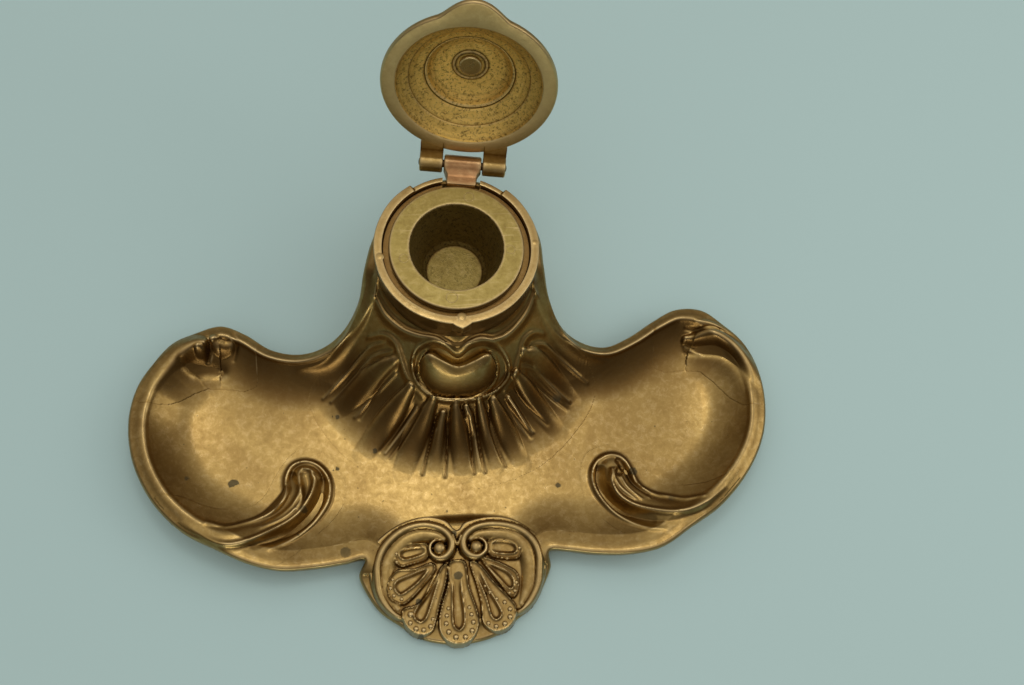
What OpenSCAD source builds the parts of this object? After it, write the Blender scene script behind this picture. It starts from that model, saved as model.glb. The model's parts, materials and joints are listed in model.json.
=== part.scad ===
// Brass desk inkstand: a cast pen tray with two scooped lobes, a tower that holds a
// lift-out ink liner, and a domed lid on a three-knuckle hinge, shown standing open.
// Frame: +X to the right, +Y to the back, +Z up, the table at z = 0, and the origin
// under the middle of the whole object.

/* [Tray] */
// Overall width across the two pen lobes
tray_w = 210; // [195:1:225]
// Radius of the rolled edge that runs all round the tray
roll_r = 2.6; // [2:0.1:3]
// Height of the pen basin's floor above the table
floor_z = 4.6; // [4.2:0.1:6]
// Thickness of the cast wall
wall = 2.4; // [2:0.1:2.6]
// Plan width of the scooped wall from the rolled edge down to the floor
scoop_w = 17; // [13:1:22]

/* [Tower and collar] */
// Where the well's axis stands, to the right of the origin
well_x = 1; // [-5:0.1:5]
// Where the well's axis stands, behind the origin
well_y = 26.5; // [20:0.5:32]
// Height of the collar's rim
collar_z = 50.7; // [48:0.1:54]
// Outer radius of the collar
collar_r = 26; // [25.6:0.1:26.6]
// Width of the collar's flat rim
rim_w = 2.7; // [2.4:0.1:3]
// Plan length of the tower's front, from the collar down to the basin floor
tower_run = 36; // [30:1:40]

/* [Shell] */
// How far the tray's middle line leans to the left, in mm for each mm to the front
lean = 0.025; // [0:0.005:0.03]
// Height of the ridge that parts the shell from the basin
ridge_z = 10.5; // [9:0.5:12]

/* [Ink liner] */
// Radius of the liner's flat flange
flange_r = 21.3; // [20.5:0.1:22]
// Thickness of the flange
flange_t = 2.6; // [2:0.1:3]
// Radius of the ink bore at its mouth
bore_r = 14.75; // [14:0.05:15.5]
// Depth of the ink bore
bore_depth = 19.6; // [16:0.1:22]
// Radius of the bore's flat floor
bore_floor_r = 9.1; // [8:0.1:10]

/* [Lid and hinge] */
// How far the open lid stands from closed, in degrees
open_angle = 106.5; // [95:0.5:112]
// How far the hinge is turned off the tray's middle line, in degrees
hinge_turn = -6.5; // [-8:0.5:0]
// Distance of the hinge axis behind the well's axis
hinge_back = 30.2; // [30:0.1:31]
// Height of the hinge axis
hinge_z = 48.5; // [48.2:0.1:49]
// Radius of the lid's rim
lid_r = 27.2; // [27:0.1:27.4]
// Radius of the recess inside the lid
recess_r = 22.7; // [22.4:0.1:23.2]
// Radius of the hinge knuckles
knuckle_r = 3; // [2.8:0.1:3.1]
// Radius of the hinge pin
pin_r = 1.25; // [1:0.05:1.4]

/* [Hidden] */

gap = 0.3;                       // space that moving bodies keep from each other
pin_play = 0.05;                 // radial play of the pin in the lid's knuckles
lug_half = 6;                    // half width of the middle knuckle
knuckle_in = 6.45;               // where the outer knuckles begin, from the middle
knuckle_out = 13.9;              // where they end
lid_z = collar_z + gap - hinge_z; // the lid's seating plane above the hinge axis
ledge_z = collar_z + 0.1 - flange_t; // ledge in the collar that carries the liner
liner_hole_r = 18;               // hole in the ledge that the cup hangs through
deck_z = 46.5;                   // top of the tower's shoulders, under the collar
apron_z = 43.5;                  // height that the tower's front flares down from, inside the collar
shoulder_z = 50.5;               // height that its sides flare down from
tip_y = -117;                    // the shell's tip, from the well's axis
arch_y = -91;                    // where the shell's arch springs from
arch_w = 27.5;                   // half width of the arch
arch_h = 13.5;                   // height of the arch in plan
span_steps = 3;                  // points between two outline points
bend_u = 0.35;                   // share of each ring line that lies before its bend
spine_x = 84;                    // half length of the basin's spine

// Outline of the rolled edge from the right lobe's end round the back of the tower:
// x, y from the well's axis, height of the crest, and how far the foot stands in
back_edge = [
    [105, -40, 15, 3.5], [103.6, -29.5, 15, 3.5], [99.4, -21, 15, 3.5], [93, -14.8, 15.5, 3.5],
    [85.5, -10.8, 16, 3.5], [77, -9.6, 16, 3], [69, -12.8, 15, 2.5], [60.8, -18.8, 14.5, 2],
    [51.5, -22, 15, 1.5], [42.5, -20.5, 19, 0], [36, -16, 26, -1], [31.5, -11, 37, -2],
    [29, -4, 45, -3], [26.5, 6, 46.5, -4], [21, 17, 46.5, -4], [11.5, 24.5, 46.5, -4],
    [0, 27, 46.5, -4]
];
// The same from the right lobe's end along the front to the shell's tip
front_edge = [
    [105, -40, 15, 3.5], [104, -51, 15, 3.5], [99.5, -60, 15, 3.5], [93, -68.5, 15, 3.5],
    [85, -76.5, 14.5, 3.5], [76, -83.5, 14, 3], [66, -89, 13, 2.5], [56, -92, 12, 2],
    [45, -91.5, 10.5, 1.5], [36, -89.5, 9.8, 1.5], [29.8, -89, 9.4, 1], [31.2, -93.5, 7.6, 0.5],
    [29.5, -99.5, 7, 0.5], [25.8, -105.5, 6.4, 0.5], [20, -110.5, 6, 0.5], [11, -114.5, 5.8, 0.5],
    [0, tip_y, 5.6, 0.5]
];

// Cast relief as rounded swells, each about a line from x, y to x, y, with its half width
// and height: the gadroons round the tower's front from left to right, and the cartouche
tower_relief = [
    [-24, -29.5, -35, -36.5, 3.8, 2.3], [-20, -39.5, -28.5, -50, 3.8, 2.4],
    [-11, -44.5, -17.5, -57, 3.8, 2.3], [-6.4, -47.5, -8.4, -58, 2.4, 1.4],
    [0, -46, 1, -59, 3.5, 2.3], [8, -44.5, 11, -57, 2.4, 1.4],
    [13.4, -44, 19, -56, 3.5, 2.2], [21.6, -36, 31.4, -46, 3.6, 2.2],
    [25, -28.6, 36.4, -35.4, 3.6, 2.1], [-7, -33, 7, -33.5, 7, 2.6]
];
// The C-scrolls in front of the lobes and the curls at their backs
lobe_relief = [
    [-76, -81, -64, -78.5, 4.4, 2.8], [-64, -78.5, -54, -70.5, 5, 3.6],
    [-54, -70.5, -50.5, -60.5, 6, 3.8], [-46, -70, -45, -60, 3.4, 2], [-94, -24, -84, -18.5, 4.2, 1.8],
    [72, -79.5, 61, -77, 4.4, 2.8], [61, -77, 52.5, -70, 5, 3.6],
    [52.5, -70, 50, -61, 6, 3.8], [46, -71, 46, -61, 3.4, 2], [95, -23, 84, -18, 3.8, 2]
];
// The volutes and lobes of the shell
shell_relief = [
    [-8, -80.5, -4.4, -84.5, 3, 2.4], [-9, -87, -6, -86.5, 3.2, 3],
    [4, -80.8, 0.8, -84.5, 3, 2.4], [2, -86.5, 5, -87, 3.2, 3],
    [-13, -87.2, -19.4, -88.6, 3.2, 1.8], [-12.5, -92.4, -20.4, -98.2, 4.2, 2],
    [-9, -96.5, -15, -107.4, 4.6, 2.2], [-2.7, -97, -2.9, -109.6, 5, 2.3],
    [4, -96.8, 9.8, -107.4, 4.6, 2.2], [7, -92.8, 13.4, -98.6, 3.6, 2],
    [9.4, -87.2, 15.4, -87.6, 3.2, 1.8]
];

// Helper functions
function lerp(a, b, t) = a + (b - a) * t;
function clamp(v, lo, hi) = min(hi, max(lo, v));
function smooth(t) = let(s = clamp(t, 0, 1)) s * s * (3 - 2 * s);
// Point at fraction t on a smooth curve between b and c, with a and d beside them
function blend_point(a, b, c, d, t) =
    0.5 * ((2 * b) + (c - a) * t + (2 * a - 5 * b + 4 * c - d) * t * t
        + (3 * b - a - 3 * c + d) * t * t * t);
// A quarter outline with its points mirrored past both ends, sampled evenly
function mirrored(p) = [-p[0], p[1], p[2], p[3]];
function before(list, first) = first ? [2 * list[0][0] - list[1][0], 2 * list[0][1] - list[1][1],
    list[1][2], list[1][3]] : mirrored(list[len(list) - 2]);
function sample(list) = let(n = len(list))
    [for (i = [0:n - 2]) for (s = [0:span_steps - 1])
        blend_point(i == 0 ? before(list, true) : list[i - 1], list[i], list[i + 1],
            i == n - 2 ? before(list, false) : list[i + 2], s / span_steps)];
function reversed(list) = [for (i = [len(list) - 1:-1:0]) list[i]];

// The closed outline, anticlockwise from the right lobe's end
quarter = (len(back_edge) - 1) * span_steps;
back_half = sample(back_edge);
front_half = sample(front_edge);
back_mid = [back_edge[len(back_edge) - 1]];
front_mid = [front_edge[len(front_edge) - 1]];
right_tail = [for (p = reversed(front_half)) if (p != front_half[0]) p];
left_back = [for (p = reversed(back_half)) mirrored(p)];
left_front = [for (i = [1:len(front_half) - 1]) mirrored(front_half[i])];
even_outline = concat(back_half, back_mid, left_back, left_front, front_mid, right_tail);
edge = [for (p = even_outline)
    [p[0] * tray_w / (2 * back_edge[0][0]) + lean * p[1], p[1], p[2], p[3]]];
count = len(edge);

// Radius of the rolled edge at outline point i: full round the tray, half round the shell
function share_to_tip(i) = i > 2 * quarter ? 1 - abs(i - 3 * quarter) / quarter : 0;
function share_to_back(i) = i < 2 * quarter ? 1 - abs(i - quarter) / quarter : 0;
function roll(i) = roll_r * (1 - 0.5 * smooth((share_to_tip(i) - 0.48) / 0.13));
// Unit vector pointing into the tray at outline point i
function inward(i) = let(
    a = edge[(i + count - 1) % count], b = edge[(i + 1) % count],
    t = [b[0] - a[0], b[1] - a[1]]) [-t[1], t[0]] / norm(t);
// Place at a plan distance inside the edge and a height
function at_edge(i, inset, z) = let(n = inward(i))
    [edge[i][0] + n[0] * inset, edge[i][1] + n[1] * inset, z];

// Rounded maximum of two heights above the floor
function round_max(a, b) = let(
    k = min(5, 0.6 * (a + b)) + 0.01, h = max(0, k - abs(a - b)) / k) max(a, b) + h * h * k / 4;
// Height of the tower above the floor: a flared front, and shoulders that rise to the collar
function tower(x, y) = let(
        r = max(1, norm([x, y])),
        s = clamp((r - collar_r + 2.5) / (tower_run + 2.5), 0, 1),
        peak = lerp(apron_z, shoulder_z, smooth((y / r + 1) / 0.8)))
    min(deck_z - floor_z, (peak - floor_z) * pow(1 - s, 1.8));
// Height of the shell's boss above the floor, with the ridge round its arched top
function arch_reach(x, y) = pow(pow(abs(x - lean * y) / arch_w, 2.6)
    + pow(max(0, y - arch_y) / arch_h, 2.6), 1 / 2.6);
function shell(x, y) = let(
        a = arch_reach(x, y),
        plate = lerp(ridge_z - 2.2, 5.8, clamp((-80 - y) / 34, 0, 1)),
        ridge = lerp(ridge_z, 7.6, clamp((-84 - y) / 14, 0, 1)))
    a > 1 ? (ridge - floor_z) * pow(clamp(1 - (a - 1) * 1.3, 0, 1), 2)
        : lerp(plate, ridge, smooth((a - 0.84) / 0.12)) - floor_z;
// Height of the scooped wall above the floor, at a distance in from the rolled edge
function scoop(distance, top) = (top - floor_z) * pow(clamp(1 - distance / scoop_w, 0, 1), 2.2);
function top_height(x, y, distance, top) = floor_z
    + max(round_max(scoop(distance, top), tower(x, y)),
        y < -62 && abs(x) < 50 ? shell(x, y) : 0);

// Height that the cast relief adds at a place
function swell(x, y, s) = let(
        from_start = [x - s[0], y - s[1]], along = [s[2] - s[0], s[3] - s[1]],
        t = clamp(from_start * along / (along * along), 0, 1),
        d = norm(from_start - t * along) / s[4])
    s[5] * pow(max(0, 1 - d * d), 0.6);
function relief(x, y) = let(near = y < -76 && abs(x) < 30 ? shell_relief
        : y < -26 && abs(x) < 42 ? tower_relief : lobe_relief)
    max([for (s = near) swell(x, y, s)]);

// Spine of the basin that the rings close on
function step_of(i) = i <= 2 * quarter ? i : count - i;
function spine(i) = let(x = spine_x * (1 - step_of(i) / quarter)) [x, -56 + 12 * pow(x / spine_x, 2)];
// Height just inside the rolled edge
function lip_z(i) = let(p = at_edge(i, 2 * roll(i), 0))
    max(edge[i][2] - 0.9 * roll(i), floor_z + tower(p[0], p[1]));
// Point that ring line i bends at: on the shell's ridge in front, else partway to the spine
function bend(i) = let(
        p = at_edge(i, 2 * roll(i), 0), s = spine(i), f = share_to_tip(i),
        a = 14 + 76 * clamp((f - 0.6) / 0.4, 0, 1),
        side = i < 3 * quarter ? -1 : 1,
        y = arch_y + arch_h * pow(sin(a), 2 / 2.6),
        x = side * arch_w * pow(cos(a), 2 / 2.6) + lean * y,
        w = smooth((f - 0.44) / 0.16))
    [lerp(lerp(p[0], s[0], 0.35), x, w), lerp(lerp(p[1], s[1], 0.35), y, w)];
function ground(i, u) = let(
        p = at_edge(i, 2 * roll(i), 0), b = bend(i), s = spine(i),
        to_bend = u < bend_u,
        t = to_bend ? u / bend_u : (u - bend_u) / (1 - bend_u),
        x = to_bend ? lerp(p[0], b[0], t) : lerp(b[0], s[0], t),
        y = to_bend ? lerp(p[1], b[1], t) : lerp(b[1], s[1], t))
    [x, y, top_height(x, y, norm([x - p[0], y - p[1]]), lip_z(i))];
// The rings crowd where the relief is: on the shell, and past what the collar hides
function crowded(i, u) = let(
        hidden = lerp(0.28, 0.56, clamp((share_to_back(i) - 0.75) / 0.25, 0, 1)),
        past_collar = u < 0.28 ? u * hidden / 0.28 : hidden + (u - 0.28) * (1 - hidden) / 0.72,
        on_shell = u < 0.65 ? u * bend_u / 0.65 : bend_u + (u - 0.65) * (1 - bend_u) / 0.35)
    lerp(past_collar, on_shell, smooth((share_to_tip(i) - 0.5) / 0.16));
function inner(i, u) = let(p = ground(i, crowded(i, u))) [p[0], p[1], p[2] + relief(p[0], p[1])];
// The underside follows the top without its relief, lower where the top is steep
function steepness(x, y) =
    norm([tower(x + 1, y) - tower(x - 1, y), tower(x, y + 1) - tower(x, y - 1)]) / 2;
function under(i, u) = let(p = ground(i, u))
    [p[0], p[1], p[2] - wall * sqrt(1 + pow(min(2, 1.4 * pow(1 - u, 4) + steepness(p[0], p[1])), 2))];

// Rings of the casting, from the foot's outer edge over the top and back underneath
top_u = [0, 0.07, 0.14, 0.21, 0.28, bend_u, 0.4, 0.46, 0.53, 0.59, 0.65, 0.7, 0.75, 0.8, 0.86, 0.93];
under_u = [0, 0.18, bend_u, 0.48, 0.62, 0.78, 0.93];
rings = concat(
    [for (k = [[1, 0], [0.75, 0.3], [0.3, 0.65]]) [for (i = [0:count - 1])
        at_edge(i, edge[i][3] * k[0], (edge[i][2] - roll(i)) * k[1])]],
    [for (a = [0:45:135]) [for (i = [0:count - 1])
        at_edge(i, roll(i) * (1 - cos(a)), edge[i][2] - roll(i) * (1 - sin(a)))]],
    [for (u = top_u) [for (i = [0:count - 1]) inner(i, u)]],
    [for (u = reversed(under_u)) [for (i = [0:count - 1]) under(i, u)]],
    [for (k = [[0.3, 0.6], [1, 0]]) [for (i = [0:count - 1])
        at_edge(i, edge[i][3] * k[0] + wall, (edge[i][2] - roll(i)) * k[1])]]
);
top_ring = 6 + len(top_u);
tray_points = [for (r = rings) for (p = r) p];
function quad(a, b, c, d) = [[a, c, b], [a, d, c]];
tray_faces = concat(
    // Bands between rings, all but the gap at the spine, and the foot's flat edge
    [for (r = [0:len(rings) - 1]) if (r != top_ring) for (i = [0:count - 1])
        let(next = (r + 1) % len(rings), k = (i + 1) % count)
        each quad(r * count + i, r * count + k, next * count + k, next * count + i)],
    // The strips that close the top and the underside along the spine
    [for (j = [0:2 * quarter - 1]) let(o = top_ring * count, a = o + j, b = o + j + 1,
            c = o + (count - j - 1) % count, d = o + (count - j) % count)
        each concat(b == c ? [] : [[a, c, b]], a == d ? [] : [[a, d, c]])],
    [for (j = [0:2 * quarter - 1]) let(o = (top_ring + 1) * count, a = o + j, b = o + j + 1,
            c = o + (count - j - 1) % count, d = o + (count - j) % count)
        each concat(b == c ? [] : [[a, b, c]], a == d ? [] : [[a, c, d]])]
);

// Sub-parts
module casting() {
    polyhedron(points = tray_points, faces = tray_faces, convexity = 8);
}

module collar() {
    rotate_extrude($fn = 96)
        polygon([[liner_hole_r, 43], [collar_r - 4, 36], [collar_r - 0.6, 36], [collar_r, 44],
            [collar_r, collar_z - 0.8], [collar_r - 0.8, collar_z], [collar_r - rim_w, collar_z],
            [collar_r - rim_w, ledge_z], [liner_hole_r, ledge_z]]);
}

module in_well_frame() {
    translate([well_x, well_y, 0]) children();
}

module in_hinge_frame() {
    in_well_frame() rotate([0, 0, hinge_turn]) translate([0, hinge_back, hinge_z]) children();
}

// One brass casting: basin, skirt, tower, collar and shell
module tray() {
    color("#9a7433")
    in_well_frame() difference() {
        union() {
            casting();
            collar();
        }
        translate([0, 0, 30]) cylinder(h = 30, r = liner_hole_r, $fn = 96);
        // Notch in the collar's rim for the hinge's middle knuckle
        rotate([0, 0, hinge_turn])
            translate([-lug_half - 0.05, 20, deck_z + 0.5]) cube([2 * lug_half + 0.1, 10, 10]);
    }
}

module knuckle(from, to) {
    translate([from, 0, 0]) rotate([0, 90, 0]) cylinder(h = to - from, r = knuckle_r, $fn = 48);
}

// Middle knuckle with its foot, brazed into the collar's notch
module hinge_lug() {
    color("#8c5a38")
    in_hinge_frame() difference() {
        union() {
            knuckle(-lug_half, lug_half);
            translate([-lug_half, -7.6, deck_z + 0.5 - hinge_z])
                cube([2 * lug_half, 7.6, hinge_z - deck_z + 1]);
        }
        translate([-20, 0, 0]) rotate([0, 90, 0]) cylinder(h = 40, r = pin_r, $fn = 48);
    }
}

module hinge_pin() {
    color("#6f5a3c")
    in_hinge_frame() translate([-knuckle_out - 0.4, 0, 0]) rotate([0, 90, 0])
        cylinder(h = 2 * knuckle_out + 0.8, r = pin_r, $fn = 48);
}

// The lid is drawn closed, in the hinge frame, and then swung open
module swung_open() {
    in_hinge_frame() rotate([-open_angle, 0, 0]) children();
}

module dome() {
    rotate_extrude($fn = 96) polygon([
        [2.3, 11], [6, 10.8], [10, 10.2], [12.5, 9], [13.8, 7], [15, 6.3], [18, 5.3], [20.6, 3.6],
        [recess_r - 0.5, 1.2], [recess_r, 0], [lid_r - 0.4, 0], [lid_r, 0.5], [lid_r, 1.8],
        [lid_r - 1, 2.8], [24, 3.4], [22.4, 5.6], [19.5, 7.4], [16, 8.6], [15.2, 10.4],
        [13, 12], [10, 12.9], [6, 13.4], [2.3, 13.4]
    ]);
}

module thumb_tab() {
    linear_extrude(2.2) hull() {
        translate([0, -26.7]) circle(r = 4.5, $fn = 32);
        translate([-8.4, -25]) circle(r = 1.6, $fn = 32);
        translate([8.4, -25]) circle(r = 1.6, $fn = 32);
    }
}

// Domed cover with a thumb tab in front and two knuckles behind
module lid() {
    color("#a8803a")
    swung_open() difference() {
        union() {
            translate([0, -hinge_back, lid_z]) {
                dome();
                difference() {
                    thumb_tab();
                    translate([0, 0, -1]) cylinder(h = 5, r = recess_r + 1, $fn = 96);
                }
            }
            for (side = [-1, 1]) {
                knuckle(side > 0 ? knuckle_in : -knuckle_out, side > 0 ? knuckle_out : -knuckle_in);
                translate([side > 0 ? knuckle_in : -knuckle_out, -7.2, lid_z])
                    cube([knuckle_out - knuckle_in, 6.6, knuckle_r - lid_z + 0.6]);
            }
        }
        translate([-20, 0, 0]) rotate([0, 90, 0])
            cylinder(h = 40, r = pin_r + pin_play, $fn = 48);
    }
}

// Turned finial, its shank riveted over inside the lid
module lid_knob() {
    color("#94612f")
    swung_open() translate([0, -hinge_back, lid_z]) rotate_extrude($fn = 64) polygon([
        [0, 10.1], [3.4, 10.1], [3.65, 10.4], [3.65, 10.8], [2.3, 10.95], [2.3, 13.4], [5, 13.4],
        [5.2, 14], [4.6, 14.6], [2.8, 15.3], [2.6, 16.2], [4.4, 17.6], [5.3, 19.4], [5, 21.4],
        [3.6, 23], [1.4, 23.8], [0, 24]
    ]);
}

// Loose brass cup that hangs in the collar by its flange
module ink_liner() {
    color("#a08a45")
    in_well_frame() rotate_extrude($fn = 96) let(top = collar_z + 0.1, low = top - bore_depth)
        polygon([
            [0, low - 2], [bore_floor_r + 1, low - 2], [14.2, low + 1.6], [15.6, low + 5],
            [16.6, ledge_z], [flange_r, ledge_z], [flange_r, top - 0.4], [flange_r - 0.4, top],
            [bore_r + 0.3, top], [bore_r, top - 0.3], [bore_floor_r + 1.2, low + 1.6],
            [bore_floor_r, low], [0, low]
        ]);
}

tray();
hinge_lug();
hinge_pin();
lid();
lid_knob();
ink_liner();
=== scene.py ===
"""Brass desk inkstand: a cast pen tray with a domed lid on a hinge and a lift-out ink cup.

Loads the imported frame, makes every visible piece with its relief and finish around it,
and lights it on a plain pale floor. Lengths in the code are millimetres unless a name says
otherwise, and become metres where a mesh is made. Plan places x, y are taken from the
well's axis, x to the right and y to the back.
"""
import json
import math

import bmesh
import bpy
import numpy as np
from bpy.props import FloatProperty, FloatVectorProperty, PointerProperty
from mathutils import Matrix, Vector


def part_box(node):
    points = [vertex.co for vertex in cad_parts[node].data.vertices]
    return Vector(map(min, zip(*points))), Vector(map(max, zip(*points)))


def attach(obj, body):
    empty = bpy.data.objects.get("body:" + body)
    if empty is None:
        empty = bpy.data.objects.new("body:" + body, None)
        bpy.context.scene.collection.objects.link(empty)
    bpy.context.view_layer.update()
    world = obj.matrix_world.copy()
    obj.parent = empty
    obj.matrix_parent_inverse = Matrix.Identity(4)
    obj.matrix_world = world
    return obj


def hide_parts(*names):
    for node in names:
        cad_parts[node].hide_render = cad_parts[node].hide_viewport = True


bl_info = {
    "name": "Brass Desk Inkstand",
    "version": (1, 0, 0),
    "blender": (4, 5, 0),
    "location": "View3D > Sidebar > Inkstand",
    "description": "Dresses the packed frame of a cast brass desk inkstand",
    "category": "Object",
}

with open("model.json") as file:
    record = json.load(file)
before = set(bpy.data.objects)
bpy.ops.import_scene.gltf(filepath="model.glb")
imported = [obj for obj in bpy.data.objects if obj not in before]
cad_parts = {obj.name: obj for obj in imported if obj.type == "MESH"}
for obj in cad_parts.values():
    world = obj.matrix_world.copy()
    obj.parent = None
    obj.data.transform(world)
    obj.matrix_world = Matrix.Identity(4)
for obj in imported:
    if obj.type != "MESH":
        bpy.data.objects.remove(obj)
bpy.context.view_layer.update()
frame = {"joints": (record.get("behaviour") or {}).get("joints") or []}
MM = 0.001


def node_box(node):
    """Lowest and highest corner of a CAD node, in millimetres."""
    low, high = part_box(node)
    return np.array(low) / MM, np.array(high) / MM


# Places that come from the frame
LINER_LOW, LINER_HIGH = node_box("ink_liner")
WELL = (LINER_LOW[:2] + LINER_HIGH[:2]) / 2
LINER_TOP = LINER_HIGH[2]
LINER_LIFT = 0.1
RIM_Z = LINER_TOP - LINER_LIFT
LID_HINGE = next(j for j in frame["joints"] if j["name"] == "lid_hinge")
HINGE_POINT = np.array(LID_HINGE["pos_m"]) / MM
HINGE_AXIS = np.array(LID_HINGE["axis"])
OPEN_ANGLE = math.radians(LID_HINGE["range_deg"][1])
HINGE_BACK = float(np.linalg.norm(HINGE_POINT[:2] - WELL))
LID_GAP = 0.3
LID_Z = RIM_Z + LID_GAP - HINGE_POINT[2]

# Outline of the rolled edge, right half, from the lobe's end round the back of the tower:
# x, y, height of the crest, and how far the foot stands in
BACK_EDGE = (
    (105, -40, 15, 3.5), (103.6, -29.5, 15, 3.5), (99.4, -21, 15, 3.5), (93, -14.8, 15.5, 3.5),
    (85.5, -10.8, 16, 3.5), (77, -9.6, 16, 3), (69, -12.8, 15, 2.5), (60.8, -18.8, 14.5, 2),
    (51.5, -22, 15, 1.5), (42.5, -20.5, 19, 0), (36, -16, 26, -1), (31.5, -11, 37, -2),
    (29, -4, 45, -3), (26.5, 6, 46.5, -4), (21, 17, 46.5, -4), (11.5, 24.5, 46.5, -4),
    (0, 27, 46.5, -4),
)
# The same from the lobe's end along the front to the shell's tip
FRONT_EDGE = (
    (105, -40, 15, 3.5), (104, -51, 15, 3.5), (99.5, -60, 15, 3.5), (93, -68.5, 15, 3.5),
    (85, -76.5, 14.5, 3.5), (76, -83.5, 14, 3), (66, -89, 13, 2.5), (56, -92, 12, 2),
    (45, -91.5, 10.5, 1.5), (36, -89.5, 9.8, 1.5), (29.8, -89, 9.4, 1), (31.2, -93.5, 7.6, 0.5),
    (29.5, -99.5, 7, 0.5), (25.8, -105.5, 6.4, 0.5), (20, -110.5, 6, 0.5), (11, -114.5, 5.8, 0.5),
    (0, -117, 5.6, 0.5),
)
# How far the hand-finished casting stands out of that even outline at each of the points
BACK_OUT_RIGHT = (0.4, 0.2, 0.5, 0.6, 1.8, 1, 0.5, 1.3, 0.8, 0, -1.4, -1.3, -0.8, 0.4, 0.4, 0, 0)
BACK_OUT_LEFT = (0.4, -0.3, -1, -0.5, -1.1, -0.2, 0, 0.6, 1.7, 1.1, 0, -0.4, 0.2, 0, 0, 0, 0)
FRONT_OUT_RIGHT = (0.4, 0.3, 1.3, 1.9, 1.8, 0.6, 1, -0.3, -0.5, 0, 0, -1, -1.7, -1.4, -1.6, 0, -0.8)
FRONT_OUT_LEFT = (0.4, 0.3, 1.5, 2.5, 2.3, 0.6, 0, -0.4, -0.3, 0.6, 0, 0.3, -0.6, -1.1, -1.6, -0.2, -0.8)

# Relief on the tower's front and in the lobes, as trails of x, y, half width, height.
# A swell is a rounded back, a ridge a narrow line that stands up, a groove one cut in.
PETALS = (
    ((-21.3, -29.2, 2.3, 2.1), (-25.6, -30.4, 3.5, 2.5), (-32, -33.2, 4.2, 2.1), (-40, -38, 3.4, 0.1)),
    ((-16.3, -36.6, 2.1, 2.1), (-20, -40.2, 3.5, 2.5), (-25.5, -45.5, 4, 1.8), (-32, -53.5, 3.4, 0.1)),
    ((-8.8, -40.6, 2, 2.1), (-11.2, -44.4, 3.2, 2.5), (-15, -50.5, 4, 1.8), (-19, -60, 3.4, 0.1)),
    ((-5.2, -43.6, 1.3, 1.4), (-6.6, -49, 2, 1.7), (-8.4, -60, 2.2, 0.1)),
    ((-1, -42.4, 1.8, 2.1), (-0.6, -46, 2.9, 2.5), (0.2, -51.5, 3.4, 1.8), (1.2, -62, 3, 0.1)),
    ((2.4, -42.4, 1.3, 2), (3.4, -45, 1.6, 2), (3.8, -49, 1.2, 0.4)),
    ((6.8, -41, 1.4, 2), (8, -45, 2, 2.2), (10.4, -52, 2.5, 1.4), (12.4, -60, 2.2, 0.1)),
    ((11.6, -40.6, 1.8, 2.1), (13.6, -44.4, 3, 2.5), (16.6, -50, 3.6, 1.8), (21, -59, 3, 0.1)),
    ((16.6, -39.4, 1.2, 1.2), (19.6, -43.6, 1.7, 1.4), (24, -50, 1.9, 0.1)),
    ((19.4, -33.4, 1.9, 2.1), (22.6, -36.4, 3.1, 2.4), (27, -41, 3.4, 1.6), (34, -48.5, 3, 0.1)),
    ((22.2, -27.8, 1.9, 2.1), (26.4, -28, 3, 2.3), (31.5, -31, 3.4, 1.6), (39.5, -38.5, 3, 0.1)),
)
FAN_GROOVES = (
    ((-19.5, -30, 0.6, 0.5), (-25.5, -34, 0.6, 0.9), (-32.5, -41.8, 0.6, 0.3)),
    ((-14.5, -40.5, 0.6, 0.5), (-18.6, -45, 0.6, 0.9), (-25.8, -52.6, 0.6, 0.3)),
    ((-12.6, -42, 0.6, 0.5), (-16.5, -47.2, 0.6, 0.9), (-23, -55, 0.6, 0.3)),
    ((-7.4, -43.5, 0.6, 0.6), (-9, -49.5, 0.6, 0.9), (-12.4, -60.8, 0.6, 0.3)),
    ((-3.5, -45.6, 0.6, 0.6), (-3.9, -52, 0.6, 0.9), (-5, -62, 0.6, 0.3)),
    ((3, -45, 0.6, 0.7), (3.8, -52, 0.6, 0.9), (4.8, -61.2, 0.6, 0.3)),
    ((5.3, -43.5, 0.6, 0.7), (6.7, -52, 0.6, 0.9), (8.4, -61, 0.6, 0.3)),
    ((9.6, -43, 0.6, 0.7), (11, -49.5, 0.6, 0.9), (15.2, -59.2, 0.6, 0.3)),
    ((16, -40.3, 0.6, 0.6), (19.4, -44.4, 0.6, 0.9), (24.4, -50.2, 0.6, 0.3)),
    ((18.8, -36.5, 0.6, 0.7), (23, -40.8, 0.6, 0.9), (30, -46.2, 0.6, 0.3)),
    ((23, -32.3, 0.6, 0.6), (29.5, -36, 0.7, 1), (37.4, -41, 0.6, 0.3)),
)
FAN_RIDGES = (
    ((-44.5, -34.2, 0.6, 0.3), (-36.8, -28.4, 0.7, 0.9), (-29, -23.6, 0.7, 0.9), (-23.5, -23.4, 0.7, 0.5)),
    ((-41.8, -35.5, 0.6, 0.3), (-34.2, -29.8, 0.7, 0.8), (-27.5, -26, 0.7, 0.9), (-21.5, -26, 0.7, 0.6)),
    ((-34, -41.2, 0.6, 0.2), (-27, -35.8, 0.7, 0.6), (-20.5, -31.6, 0.7, 0.6)),
    ((-24.4, -53.4, 0.6, 0.3), (-17.6, -46, 0.7, 0.8), (-13.6, -41.4, 0.6, 0.5)),
    ((-10.6, -57, 0.6, 0.2), (-8, -48, 0.6, 0.5)),
    ((44.5, -32.4, 0.6, 0.3), (36.5, -27.4, 0.8, 0.9), (29.6, -24, 0.8, 0.9), (24.5, -24.8, 0.7, 0.5)),
    ((38, -38.4, 0.6, 0.4), (31.6, -34.6, 0.7, 0.9), (25.5, -31, 0.7, 0.7), (21.4, -30.6, 0.6, 0.4)),
    ((25, -48.6, 0.6, 0.3), (19.8, -43, 0.6, 0.7), (16.6, -39.4, 0.6, 0.5)),
    ((6.6, -60, 0.6, 0.2), (5, -47, 0.6, 0.6)),
)
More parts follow.
